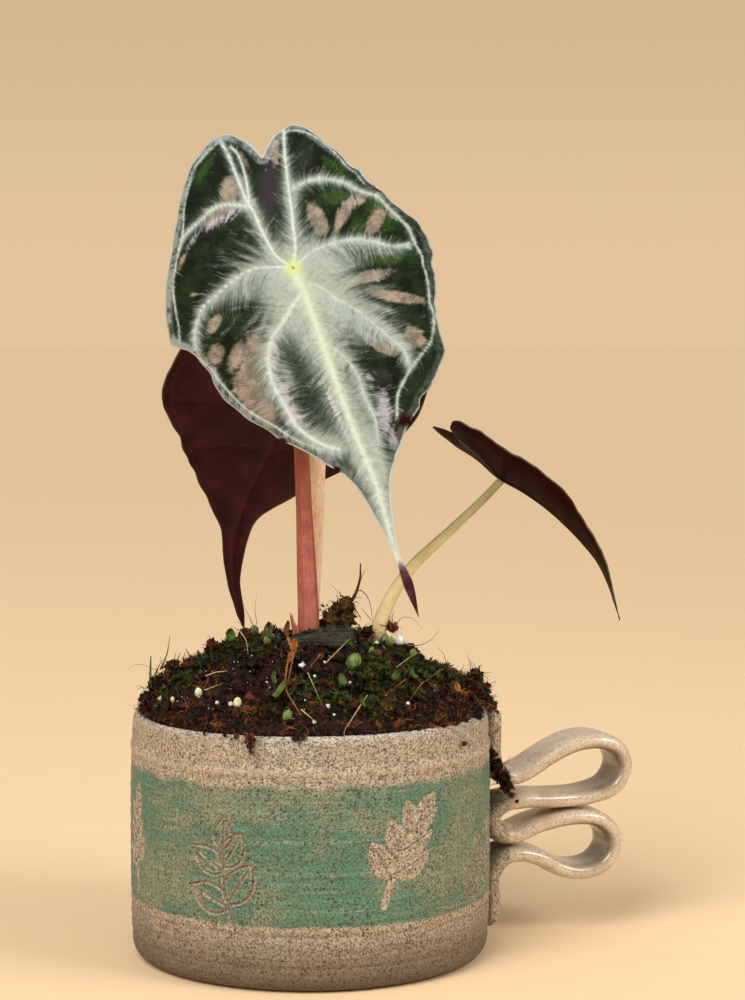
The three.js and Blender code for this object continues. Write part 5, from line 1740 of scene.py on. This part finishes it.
def buildFibreMaterial(name, dark, light, scale=160.0):
    material, tree, shader = newMaterial(name)
    tint = useGroup(tree, mottle, Scale=scale, Dark=dark, Light=light, Contrast=1.4)
    fine = grain(tree, objectPlace(tree), 2400, 2.0)
    dress(tree, shader, tint["Colour"], 0.5, 0.25, fine, 0.4, 0.05)
    return material


darkFibre = buildFibreMaterial("darkFibre", srgb(24, 10, 5), srgb(98, 48, 24), 700.0)
rustFibre = buildFibreMaterial("rustFibre", srgb(64, 30, 12), srgb(164, 104, 54), 500.0)
looseFibres = buildFibres("peatFibres", peat["fibres"], 5, 4.2, 0.11)
finishPiece("peat_fibres", looseFibres, [darkFibre])
tuftedFibres = buildFibres("rustFibres", peat["rustFibres"], 8, 4.6, 0.1, fibreTufts)
finishPiece("rust_fibres", tuftedFibres, [rustFibre])


# Moss: small tufts of pointed leaves. clumps: moss that stands off the mound, as place and reach.
moss = {
    "kinds": 4, "leaves": 6, "leafWidth": 0.26, "leafTurn": 1.05, "reach": 39.5, "lean": 1.2, "seed": 19,
    "clumps": ((6, 1, 81.6, 2.0), (43.6, 7.8, 58, 0.7), (38.6, -4, 66, 2.2), (-33, -7, 67, 2.4)),
    "clumpSize": 20,
}


def mossTemplates(rng):
    templates = []
    for number in range(moss["kinds"]):
        bm = bmesh.new()
        for leaf in range(moss["leaves"]):
            long = rng.uniform(0.8, 1.2)
            made = bmesh.ops.create_cone(bm, cap_ends=True, cap_tris=True, segments=4, depth=long,
                                         radius1=moss["leafWidth"], radius2=0.0)["verts"]
            foot = min(made, key=lambda vert: math.hypot(vert.co.x, vert.co.y) + vert.co.z)
            foot.co.z -= 0.5 * long
            turn = Euler((rng.uniform(0.3, 1.2), 0, leaf * moss["leafTurn"] + rng.uniform(-0.3, 0.3)))
            shape = Matrix.Translation((0, 0, 0.9 * long)) @ Matrix.Diagonal((1.0, 0.3, 1.0, 1.0))
            bmesh.ops.transform(bm, matrix=turn.to_matrix().to_4x4() @ shape, verts=made)
        templates.append(meshFrom(bm, "moss" + str(number)))
    return templates


def buildMoss():
    rng = random.Random(moss["seed"])
    places = []

    def plant(spot, smallest, largest):
        size = rng.uniform(smallest, largest)
        turn = leaning(rng, moss["lean"])
        places.append((rng.randrange(moss["kinds"]), placeMatrix(spot, turn, size)))

    while len(places) < peat["mossTufts"]:
        x, y = onDisc(rng, moss["reach"])
        if rng.random() > mossAmount(x, y):
            continue
        plant((x, y, moundTop(x, y) + rng.uniform(-0.1, 0.9)), 0.5, 1.3)
    for x, y, z, reach in moss["clumps"]:
        for number in range(moss["clumpSize"]):
            plant(nearby(rng, (x, y, z), reach, (0.6, 0.6, 0.5)), 0.4, 0.9)
    return scatterMesh("moss", mossTemplates(rng), places)


def buildMossMaterial():
    material, tree, shader = newMaterial("moss")
    tint = useGroup(tree, mottle, Scale=260.0, Dark=srgb(9, 13, 4), Light=srgb(62, 78, 26), Contrast=1.7)
    fresh = remap(tree, painted(tree, "shade"), 0.84, 1.0, 0.0, 0.6)
    colour = blend(tree, fresh, tint["Colour"], srgb(98, 104, 42))
    dress(tree, shader, colour, 0.45, 0.2, grain(tree, objectPlace(tree), 900, 2.0), 0.5, 0.1)
    return material


finishPiece("moss_tufts", buildMoss(), [buildMossMaterial()], smooth=False)


# Beads and pale grains that lie on the peat: x, y and size in mm
beads = {
    "perlite": [(21.3, 1, 3.0), (-1.2, -22.3, 2.2), (-20.5, -27.8, 1.0), (-17.2, -30.8, 1.4),
                (-9.3, -25.9, 0.7), (-31, -13.3, 0.7), (3.8, -22, 0.7), (1.6, -26.5, 0.8), (9.7, -26.9, 1.0),
                (11.5, -24.9, 0.9), (22.8, -27.5, 0.9), (35.7, -16.1, 0.9), (1.7, -38, 1.1),
                (6.2, -36.4, 0.7), (4.7, -34.3, 1.6), (-10, 20, 2.0), (12, 24, 1.7), (26, 14, 1.3),
                (-24, 16, 1.8), (4, 33, 1.2), (-33, 8, 1.1)],
    "greenSeed": [(-4.2, -37.2, 2.3), (10.3, -19.1, 3.5), (17.6, -1.6, 2.1), (18.9, -5, 1.9),
                  (14.5, -12.3, 1.6), (24.3, -1, 1.7), (-9.7, -11.1, 1.8), (-14, 12, 2.6), (20, 18, 2.2)],
    "paleSeed": [(-25, -22.5, 1.8), (-34.6, -13.9, 1.0), (-31.2, -19.4, 1.1), (-15.7, -31.3, 1.9),
                 (15.6, -4.6, 1.3), (-28, 18, 2.0), (8, 12, 1.6)],
}

# How the grains are shaped: bumps of their surface, how far each is sunk, and the white dust
# of broken perlite, whose tiny specks also stand in for glints of light on the wet peat
beadForm = {"kinds": 3, "sunk": 0.38, "raised": 0.5, "lean": 0.4, "dustReach": 38, "dustKinds": 2}


def buildBeads(kind, seed):
    rng = random.Random(seed)
    form = beadForm

    def shape(vert, number):
        shift = Vector((number, 0, 0))
        if kind == "perlite":
            vert.co *= 0.84 + 0.3 * noise.noise(vert.co * 4.6 + shift)
        else:
            vert.co *= 1 + 0.14 * noise.noise(vert.co * 7 + shift)
            vert.co.z *= 1.2 + 0.5 * max(vert.co.z, 0)

    templates = roundTemplates(kind, form["kinds"], 3, shape)
    places = []
    for x, y, size in beads[kind]:
        turn = leaning(rng, form["lean"])
        height = moundTop(x, y) + form["sunk"] * size + form["raised"]
        places.append((rng.randrange(form["kinds"]), placeMatrix((x, y, height), turn, size)))
    if kind == "perlite":
        # tiny white perlite specks, partly standing in for glints of light on the wet peat
        templates += crumbTemplates(rng, form["dustKinds"])
        for number in range(peat["perliteDustAndGlints"]):
            x, y = onDisc(rng, form["dustReach"])
            size = rng.uniform(0.18, 0.4)
            spot = (x, y, moundTop(x, y) + rng.uniform(0.3, 0.8))
            which = form["kinds"] + number % form["dustKinds"]
            places.append((which, placeMatrix(spot, (0.3 * number, 0, 0), size)))
    return scatterMesh(kind, templates, places)


def buildBeadMaterial(name, dark, light, scale, roughness):
    material, tree, shader = newMaterial(name)
    tint = useGroup(tree, mottle, Scale=scale, Dark=dark, Light=light, Contrast=1.2)
    dress(tree, shader, tint["Colour"], roughness, height=tint["Value"], strength=0.5, depth=0.15)
    soften(shader, 0.2, 0.001)
    return material


# Piece, seed of its draws, dark and light colour, scale of the mottling and roughness
beadFinishes = {
    "perlite": ("perlite_grains", 3, srgb(196, 200, 180), srgb(248, 246, 236), 700.0, 0.6),
    "greenSeed": ("green_seeds", 4, srgb(48, 70, 26), srgb(132, 154, 78), 1100.0, 0.4),
    "paleSeed": ("pale_seeds", 6, srgb(168, 178, 112), srgb(234, 232, 196), 600.0, 0.45),
}
for kind, (pieceName, seed, *look) in beadFinishes.items():
    finishPiece(pieceName, buildBeads(kind, seed), [buildBeadMaterial(kind, *look)])


# Bark flake: a thin weathered plate that lies on top of the peat
bark = {"middle": (2.2, -9.6, 76.6), "long": 18.6, "wide": 6.2, "thickness": 1.4, "tilt": 46, "roll": -7,
        "columns": 90, "rows": 44}


def buildFlake():
    rows, columns = bark["rows"], bark["columns"]
    roll = Matrix.Rotation(math.radians(bark["roll"]), 3, "Y")
    tilt = roll @ Matrix.Rotation(math.radians(bark["tilt"]), 3, "X")
    points = np.zeros((rows + 1, columns + 1, 3))
    for i in range(rows + 1):
        for j in range(columns + 1):
            u = j / columns * 2 - 1
            v = i / rows * 2 - 1
            half = bark["wide"] / 2 * (1 - abs(u) ** 2.6) ** 0.6 * (0.78 + 0.3 * u) + 0.25
            ragged = 0.5 * noise.noise(Vector((u * 6, v * 0.6, 0)))
            x = u * bark["long"] / 2 + 0.5 * noise.noise(Vector((v * 3, u, 4)))
            y = v * (half + ragged * 0.8) - 0.3
            z = (0.5 * math.cos(2.2 * u) - 0.45 * v * v + 0.35 * noise.noise(Vector((x * 0.7, y * 2.6, 2)))
                 + 0.18 * noise.noise(Vector((x * 1.4, y * 6, 7))))
            points[i, j] = tilt @ Vector((x, y, z)) + Vector(bark["middle"])
    return mappedGrid("bark_flake", points, faceTowards=(0, -0.6, 0.8))


barkColours = {"deep": srgb(11, 11, 8), "worn": srgb(64, 64, 50), "ridge": srgb(118, 114, 94),
               "rust": srgb(84, 58, 38)}


def buildBarkMaterial():
    material, tree, shader = newMaterial("weatheredBark")
    streak = grain(tree, objectPlace(tree, (0.25, 1.6, 1.6)), 900, 4.0, 0.6)
    rusty = remap(tree, grain(tree, objectPlace(tree), 260), 0.56, 0.68, 0.0, 0.6)
    colour = layered(tree, barkColours["deep"], (remap(tree, streak, 0.35, 0.65), barkColours["worn"]),
                     (remap(tree, streak, 0.6, 0.74, 0.0, 0.8), barkColours["ridge"]),
                     (rusty, barkColours["rust"]))
    dress(tree, shader, colour, 0.7, 0.15, streak, 1.0, 0.5)
    return material


flake = finishPiece("weathered_bark", buildFlake(), [buildBarkMaterial()], node="bark_flake")
thicken(flake, "plate", bark["thickness"])


# Knot of old roots, with rootlets that stand up from it
rootlets = [
    ([(7.6, 2, 80), (8.8, 2.2, 82), (10.6, 2.5, 84.8), (11.8, 3, 88.6), (11.9, 3, 92.3)], 0.62),
    ([(11, 2.8, 86), (12, 3, 88.4), (13.1, 3, 91)], 0.14),
    ([(10.4, 1, 85), (11.5, 1, 86.2), (13.4, 1, 84.8), (14.4, 0.8, 82), (14.8, 0, 77.6)], 0.15),
    ([(9.4, 1.4, 84), (11.4, 1, 84.4), (12.6, 0.8, 84.2)], 0.13),
    ([(10, 1, 82.6), (11.2, 0.6, 80.8), (12.2, 0.4, 79)], 0.18),
    ([(8, 1.6, 84), (6, 1.2, 86.4), (3.6, 1, 88.4)], 0.07),
    ([(9.6, 1.8, 82), (11, 1.2, 83.4), (11.6, 1, 82.6)], 0.14),
]
rootLumps = [(5.6, 1.6, 78.8, 2.5), (8, 1.9, 79.2, 2.4), (7.4, 1.9, 81.4, 2.0), (8.4, 2, 83, 1.4),
             (4.6, 1.6, 79.6, 1.4)]

# strands: how many thin roots wind over the lumps; nodules: how rough the lumps are
rootForm = {"seed": 12, "strands": 210, "nodules": 0.75}


def buildRootClump():
    rng = random.Random(rootForm["seed"])
    strands = [(evenPoints(line, 12).tolist(), radius) for line, radius in rootlets]
    for number in range(rootForm["strands"]):
        x, y, z, reach = rootLumps[number % len(rootLumps)]
        start = nearby(rng, (x, y, z), reach, (0.5, 0.5, 0.5))
        heading = (rng.uniform(-0.5, 1), rng.uniform(-1, 0.6), rng.uniform(-0.5, 1))
        strands.append((wander(rng, start, heading, rng.uniform(1.4, 3.4), 5, 1.0), rng.uniform(0.08, 0.26)))
    mesh = strandMesh("rootClump", strands, 1)
    bm = bmesh.new()
    bm.from_mesh(mesh)
    for x, y, z, reach in rootLumps:
        centre = Vector((x, y, z)) * mm
        matrix = Matrix.Translation(centre) @ Matrix.Scale(reach * mm, 4)
        lump = bmesh.ops.create_icosphere(bm, subdivisions=4, radius=1.0, matrix=matrix)["verts"]
        for vert in lump:
            bump = noise.fractal(vert.co / mm * 0.8, 0.7, 2.1, 4)
            vert.co += (vert.co - centre) * rootForm["nodules"] * bump
    bm.to_mesh(mesh)
    bm.free()
    return mesh


rootMaterial = buildPeatMaterial("oldRoot", srgb(26, 18, 7), srgb(98, 68, 28), srgb(84, 76, 28), 0.55)
finishPiece("old_root_knot", buildRootClump(), [rootMaterial], node="root_clump")


# Dry sheath round the foot of the front stalk. edge: waves of its torn upper edge.
sheath = {"axis": (-0.4, 0), "low": 69, "high": 80.6, "radius": 3.5, "flareFrom": 74, "flare": 0.14,
          "facing": 1.06 * math.pi, "spread": 1.15, "taper": 0.35, "shoulderDrop": 4, "thickness": 0.3,
          "edge": ((9, 0, 0.4), (23, 0, 0.25)), "columns": 60, "rows": 40}


def buildSheath():
    across = np.linspace(-1, 1, sheath["columns"] + 1)[None, :]
    share = np.linspace(0, 1, sheath["rows"] + 1)[:, None]
    top = sheath["high"] - sheath["shoulderDrop"] * across ** 2 + waves(across, sheath["edge"])
    z = sheath["low"] + (top - sheath["low"]) * share
    angle = sheath["facing"] + sheath["spread"] * (1 - sheath["taper"] * share) * across
    radius = (sheath["radius"] + sheath["flare"] * np.maximum(z - sheath["flareFrom"], 0)
              + 0.1 * np.sin(14 * across) * share)
    x = sheath["axis"][0] + radius * np.cos(angle)
    y = sheath["axis"][1] + radius * np.sin(angle)
    return mappedGrid("dry_sheath", np.stack([x, y, z], axis=-1), faceTowards=(-1, 0, 0))


huskColours = {"dark": srgb(176, 92, 76), "light": srgb(212, 138, 116), "tip": srgb(160, 92, 46)}


def buildHuskMaterial():
    material, tree, shader = newMaterial("dryHusk")
    lines = grain(tree, objectPlace(tree, (1, 1, 0.08)), 1800)
    colour = layered(tree, huskColours["dark"], (remap(tree, lines, 0.35, 0.65), huskColours["light"]),
                     (remap(tree, heightMm(tree), 75.5, 79.0, 0.0, 0.6), huskColours["tip"]))
    dress(tree, shader, colour, 0.5, height=lines, strength=0.5, depth=0.12)
    soften(shader, 0.3, 0.001)
    return material


husk = finishPiece("dry_leaf_sheath", buildSheath(), [buildHuskMaterial()], node="dry_sheath")
thicken(husk, "film", sheath["thickness"])


# Straws and single roots on the mound, and moss stems that stand on it: points and radius in mm
straws = {
    "pale": [
        ([(-1.2, -23.4, 72.6), (1.2, -31, 68.8), (4.1, -37, 63.5)], 0.13),
        ([(13.6, -32.4, 66.2), (10.6, -38, 62.4), (8.4, -41.8, 59), (9.3, -43, 57)], 0.16),
        ([(-1.2, -37.4, 63.8), (0.6, -38.2, 62.4), (2.4, -39, 61)], 0.2),
        ([(4, -26.8, 72.6), (6.6, -22, 74.6), (9.6, -16.6, 77)], 0.17),
        ([(20.2, -20.8, 70.8), (23.8, -15, 72.6), (27.4, -8, 73.4)], 0.12),
        ([(-23.4, -21.6, 69), (-21, -22.8, 70), (-18.4, -23.4, 70.4)], 0.2),
        ([(-23.4, -26, 66.4), (-21, -26.8, 67.4), (-19.4, -27, 68)], 0.16),
        ([(-16, -10, 77.6), (-14.6, -13, 76), (-14, -15, 73)], 0.16),
    ],
    "rust": [
        ([(-4.2, -21, 74.2), (-4.8, -27, 71), (-4.6, -33, 67.4), (-3.2, -35.6, 65.4),
          (-1.2, -38, 62.6)], 0.3),
        ([(-3.4, -21, 73.6), (-3.8, -26, 71.4), (-4.4, -31, 68.6)], 0.22),
        ([(2.8, -22.4, 74), (1.4, -24.6, 72.6), (0.2, -26.6, 71)], 0.16),
        ([(31, -12.8, 69.2), (28.4, -17, 68.2), (26.2, -20.6, 67)], 0.17),
        ([(22.4, -24, 68.6), (20, -27, 67.2), (17.6, -29, 65.4)], 0.14),
        ([(26.4, -20, 67.4), (24.4, -24, 65.4), (22.6, -27, 63.2)], 0.14),
    ],
    "curl": [
        ([(20.3, -3, 78.6), (22, -3.4, 80.2), (24.4, -4.2, 79.9), (26.4, -5, 77.6)], 0.1),
        ([(23, -6, 74), (25.6, -6, 73.9), (28.5, -6, 75.2), (30.4, -6, 77.5)], 0.14),
        ([(32, -6, 70), (31.4, -6, 72), (29.8, -6, 73.6)], 0.11),
        ([(37.6, -5, 66), (37.8, -5, 69), (37, -5, 71.6)], 0.17),
        ([(39.6, -5, 65.4), (41.4, -5, 67)], 0.12),
        ([(-12.6, 0, 78), (-13, -0.4, 82), (-12.6, -1, 85.4)], 0.08),
        ([(-13.4, 0, 77.6), (-14.6, -0.4, 80.4), (-15.6, -1, 82.4)], 0.12),
        ([(-36, -6, 68), (-40, -7, 69.6), (-43, -8, 68.4)], 0.08),
        ([(14.4, 0.6, 79), (13, 0, 81), (12.2, -0.4, 82)], 0.13),
    ],
    "green": [
        ([(-37.3, -8, 61), (-37.3, -8.2, 66), (-37.1, -8.2, 71.6)], 0.5),
        ([(-35, -8, 68.4), (-33.4, -8, 72), (-32.6, -8, 76.4)], 0.24),
        ([(-36.4, -8, 66), (-35.4, -8, 69), (-34.6, -8, 70.6)], 0.26),
        ([(-31, -8, 70.4), (-30.2, -8, 72.6)], 0.2),
        ([(-28, -8, 71.6), (-29, -8, 73.6)], 0.2),
    ],
}

# Material, dark and light colour of each kind
strawFinishes = {
    "pale": ("paleStraw", srgb(140, 122, 76), srgb(200, 182, 132)),
    "rust": ("rustShred", srgb(96, 54, 26), srgb(166, 112, 62)),
    "curl": ("curledRoot", srgb(96, 68, 40), srgb(150, 118, 76)),
    "green": ("greenStem", srgb(54, 66, 26), srgb(104, 116, 52)),
}
for kind, lines in straws.items():
    mesh = strandMesh(kind + "Straw", [(evenPoints(line, 12).tolist(), radius) for line, radius in lines], 1)
    finishPiece(kind + "_straws", mesh, [buildFibreMaterial(*strawFinishes[kind])])


# Thin curled shreds: place, width, length, turn about x, y and z
shreds = {
    "khaki": [((-10.2, -0.6, 75.6), 2.4, 4.4, (1.4, 0.12, 0.3)),
              ((-9, -1.4, 74.6), 1.8, 3.4, (1.2, -0.5, 0.9)), ((15, 1, 76), 2, 3, (0.7, 0.4, 0.5)),
              ((-20, 14, 70.6), 2.2, 3, (0.6, 0.5, 2.2))],
    "orange": [((-5.4, -5.8, 77.2), 1.2, 3.6, (1.5, 0.1, 0.25)),
               ((-3.5, -16.4, 74.6), 1.7, 3.0, (1.3, 0.2, 0.2)),
               ((-4.4, -15.6, 75.6), 0.9, 2.6, (0.9, 0.4, 0.9)),
               ((-4, -20, 72.6), 1.2, 3.6, (1.0, 0.3, -0.2)),
               ((34.4, -13.4, 64.6), 1.8, 2.2, (0.9, 0.3, 0.6)), ((8, 26, 72), 3, 3.4, (0.6, 0.4, 1.4))],
    "green": [((-6.3, -33.6, 66.8), 1.9, 4.4, (0.8, 0.1, -0.8)),
              ((-9.4, -11.6, 77), 1.4, 2.6, (0.9, 0.2, 0.9)), ((-19, -0.4, 75), 2.6, 2.8, (1.2, 0.1, 0.2)),
              ((-7.6, -29, 69), 1.3, 2.8, (0.9, 0.3, 0.5)), ((24, -21.4, 69), 1.8, 3, (0.8, 0.1, 1.0)),
              ((8, -31, 69), 2, 2.6, (0.9, 0, 0.3)), ((12.6, -35, 64.6), 1.5, 2.4, (0.9, 0.2, 1.2)),
              ((20, -24, 69), 1.6, 2.8, (0.8, 0.4, -0.6)), ((-24, 14, 69), 1.6, 3, (0.5, 0.2, 2.0)),
              ((16, 20, 73.6), 2, 4, (0.5, 0.2, 2.8))],
}

shredThickness = 0.22


def buildShreds(kind):
    bm = bmesh.new()
    for number, (point, width, length, turn) in enumerate(shreds[kind]):
        matrix = placeMatrix(point, turn, 1)
        for vert in bmesh.ops.create_grid(bm, x_segments=8, y_segments=12, size=0.5)["verts"]:
            u, v = 2 * vert.co.x, vert.co.y + 0.5
            taper = math.sin(math.pi * min(v * 0.86 + 0.14, 1)) ** 0.6
            x = 0.8 * u * width / 2 * taper + 0.2 * noise.noise(Vector((v * 4, number, 0)))
            y = (v - 0.3) * length
            z = (0.3 * width * u * u + 0.35 * noise.noise(Vector((u * 1.5, v * 3, number)))
                 + 0.25 * length * (v - 0.5) ** 2)
            vert.co = matrix @ Vector((x, y, z))
    return meshFrom(bm, kind + "Shreds")


shredFinishes = {
    "khaki": ("khakiChip", srgb(78, 66, 32), srgb(122, 104, 56)),
    "orange": ("orangeHusk", srgb(112, 58, 22), srgb(176, 114, 54)),
    "green": ("greenLeafBit", srgb(34, 48, 14), srgb(92, 110, 40)),
}
for kind, finish in shredFinishes.items():
    piece = finishPiece(kind + "_shreds", buildShreds(kind), [buildFibreMaterial(*finish)])
    thicken(piece, "sheet", shredThickness)


# Corm: the CAD mesh stays and only gets a skin
cormMaterial = buildPeatMaterial("cormSkin", srgb(60, 40, 26), srgb(112, 80, 54), srgb(140, 104, 72), 0.6)
cormNode = frame["nodes"]["corm"]
cormNode.data.materials.clear()
cormNode.data.materials.append(cormMaterial)


# Floor and room. The camera sees a warm backdrop, reflections see it low down with the room
# above it, and all other light comes evenly from a pale room.

studio = {
    "nearTone": srgb(239, 208, 169), "farTone": srgb(250, 219, 179), "floorLight": srgb(248, 216, 173),
    "backTone": srgb(227, 196, 156), "highTone": srgb(213, 183, 143), "roomTone": srgb(180, 173, 164),
    "lightTone": srgb(255, 251, 245), "floorRadius": 6.0, "ambient": 0.42, "mirrored": 0.85,
}


def buildFloor():
    bm = bmesh.new()
    bmesh.ops.create_circle(bm, cap_ends=True, segments=96, radius=studio["floorRadius"])
    mesh = meshFrom(bm, "floor")
    material, tree, shader = newMaterial("paleFloor")
    away = remap(tree, axisDistance(tree, objectPlace(tree)), 0.1, 1.0)
    tone = blend(tree, away, studio["nearTone"], studio["farTone"])
    tint = useGroup(tree, mottle, Scale=60.0, Dark=tone, Light=studio["floorLight"], Contrast=0.2)
    dress(tree, shader, tint["Colour"], 0.9, 0.0)
    mesh.materials.append(material)
    floor = bpy.data.objects.new("floor", mesh)
    bpy.context.scene.collection.objects.link(floor)


def buildRoom():
    world = bpy.data.worlds.new("softRoom")
    bpy.context.scene.world = world
    world.use_nodes = True
    tree = world.node_tree
    heading = tree.nodes.new("ShaderNodeTexCoord").outputs["Generated"]
    height = split(tree, heading)[2]
    rays = tree.nodes.new("ShaderNodeLightPath").outputs

    def background(colour, strength=1.0):
        node = tree.nodes.new("ShaderNodeBackground")
        feed(tree, node.inputs["Color"], colour)
        node.inputs["Strength"].default_value = strength
        return node.outputs[0]

    def choose(ray, otherwise, seen):
        node = tree.nodes.new("ShaderNodeMixShader")
        for socket, value in zip(node.inputs, (rays[ray], otherwise, seen)):
            tree.links.new(value, socket)
        return node.outputs[0]

    backdrop = background(blend(tree, remap(tree, height, 0.0, 0.11), studio["backTone"], studio["highTone"]))
    mirrorTone = blend(tree, remap(tree, height, 0.05, 0.7), studio["backTone"], studio["roomTone"])
    ambient = background(studio["lightTone"], studio["ambient"])
    unseen = choose("Is Glossy Ray", ambient, background(mirrorTone, studio["mirrored"]))
    seen = choose("Is Camera Ray", unseen, backdrop)
    tree.links.new(seen, tree.nodes["World Output"].inputs["Surface"])
    tree.nodes.remove(tree.nodes["Background"])


# place and target in metres; size: metres for an area lamp, degrees for the sun; power: watts
# for an area lamp, watts per square metre for the sun
lamps = {
    "softSun": {"kind": "SUN", "place": (-0.5, -0.75, 0.9), "target": (0, 0, 0.1), "power": 1.75,
                "size": 38, "colour": (1, 0.98, 0.95)},
    "softbox": {"kind": "AREA", "place": (-0.25, -0.45, 0.75), "target": (0, 0, 0.1), "power": 1.3,
                "size": 0.4, "colour": (1, 0.98, 0.96), "spread": 180},
    "rightCard": {"kind": "AREA", "place": (0.95, -0.5, 0.75), "target": (0.02, 0, 0.08), "power": 1.05,
                  "size": 0.6, "colour": (1, 0.97, 0.93), "spread": 60},
}


def addLamp(name, lamp):
    light = bpy.data.lights.new(name, lamp["kind"])
    light.energy = lamp["power"]
    light.color = lamp["colour"]
    if lamp["kind"] == "AREA":
        light.size = lamp["size"]
        light.spread = math.radians(lamp["spread"])
    else:
        light.angle = math.radians(lamp["size"])
    holder = bpy.data.objects.new(name, light)
    bpy.context.scene.collection.objects.link(holder)
    holder.location = lamp["place"]
    towards = Vector(lamp["target"]) - Vector(lamp["place"])
    holder.rotation_euler = towards.to_track_quat("-Z", "Y").to_euler()


buildFloor()
buildRoom()
for lampName, lampValues in lamps.items():
    addLamp(lampName, lampValues)
print("made the floor, the room and", len(lamps), "lamps")


# The photo's view, fitted to the cup's rim and base: place in metres, angle below the level in degrees
view = {"place": (0.01477, -0.62512, 0.15893), "down": 4.69, "lens": 95.67, "sensor": 36, "nearest": 0.01}

camera = bpy.data.cameras.new("photoView")
camera.lens = view["lens"]
camera.sensor_width = view["sensor"]
camera.clip_start = view["nearest"]
cameraHolder = bpy.data.objects.new("photoView", camera)
cameraHolder.location = view["place"]
cameraHolder.rotation_euler = (math.radians(90 - view["down"]), 0, 0)
bpy.context.scene.collection.objects.link(cameraHolder)
bpy.context.scene.camera = cameraHolder
bpy.context.scene.view_settings.view_transform = "Standard"

bpy.context.view_layer.update()
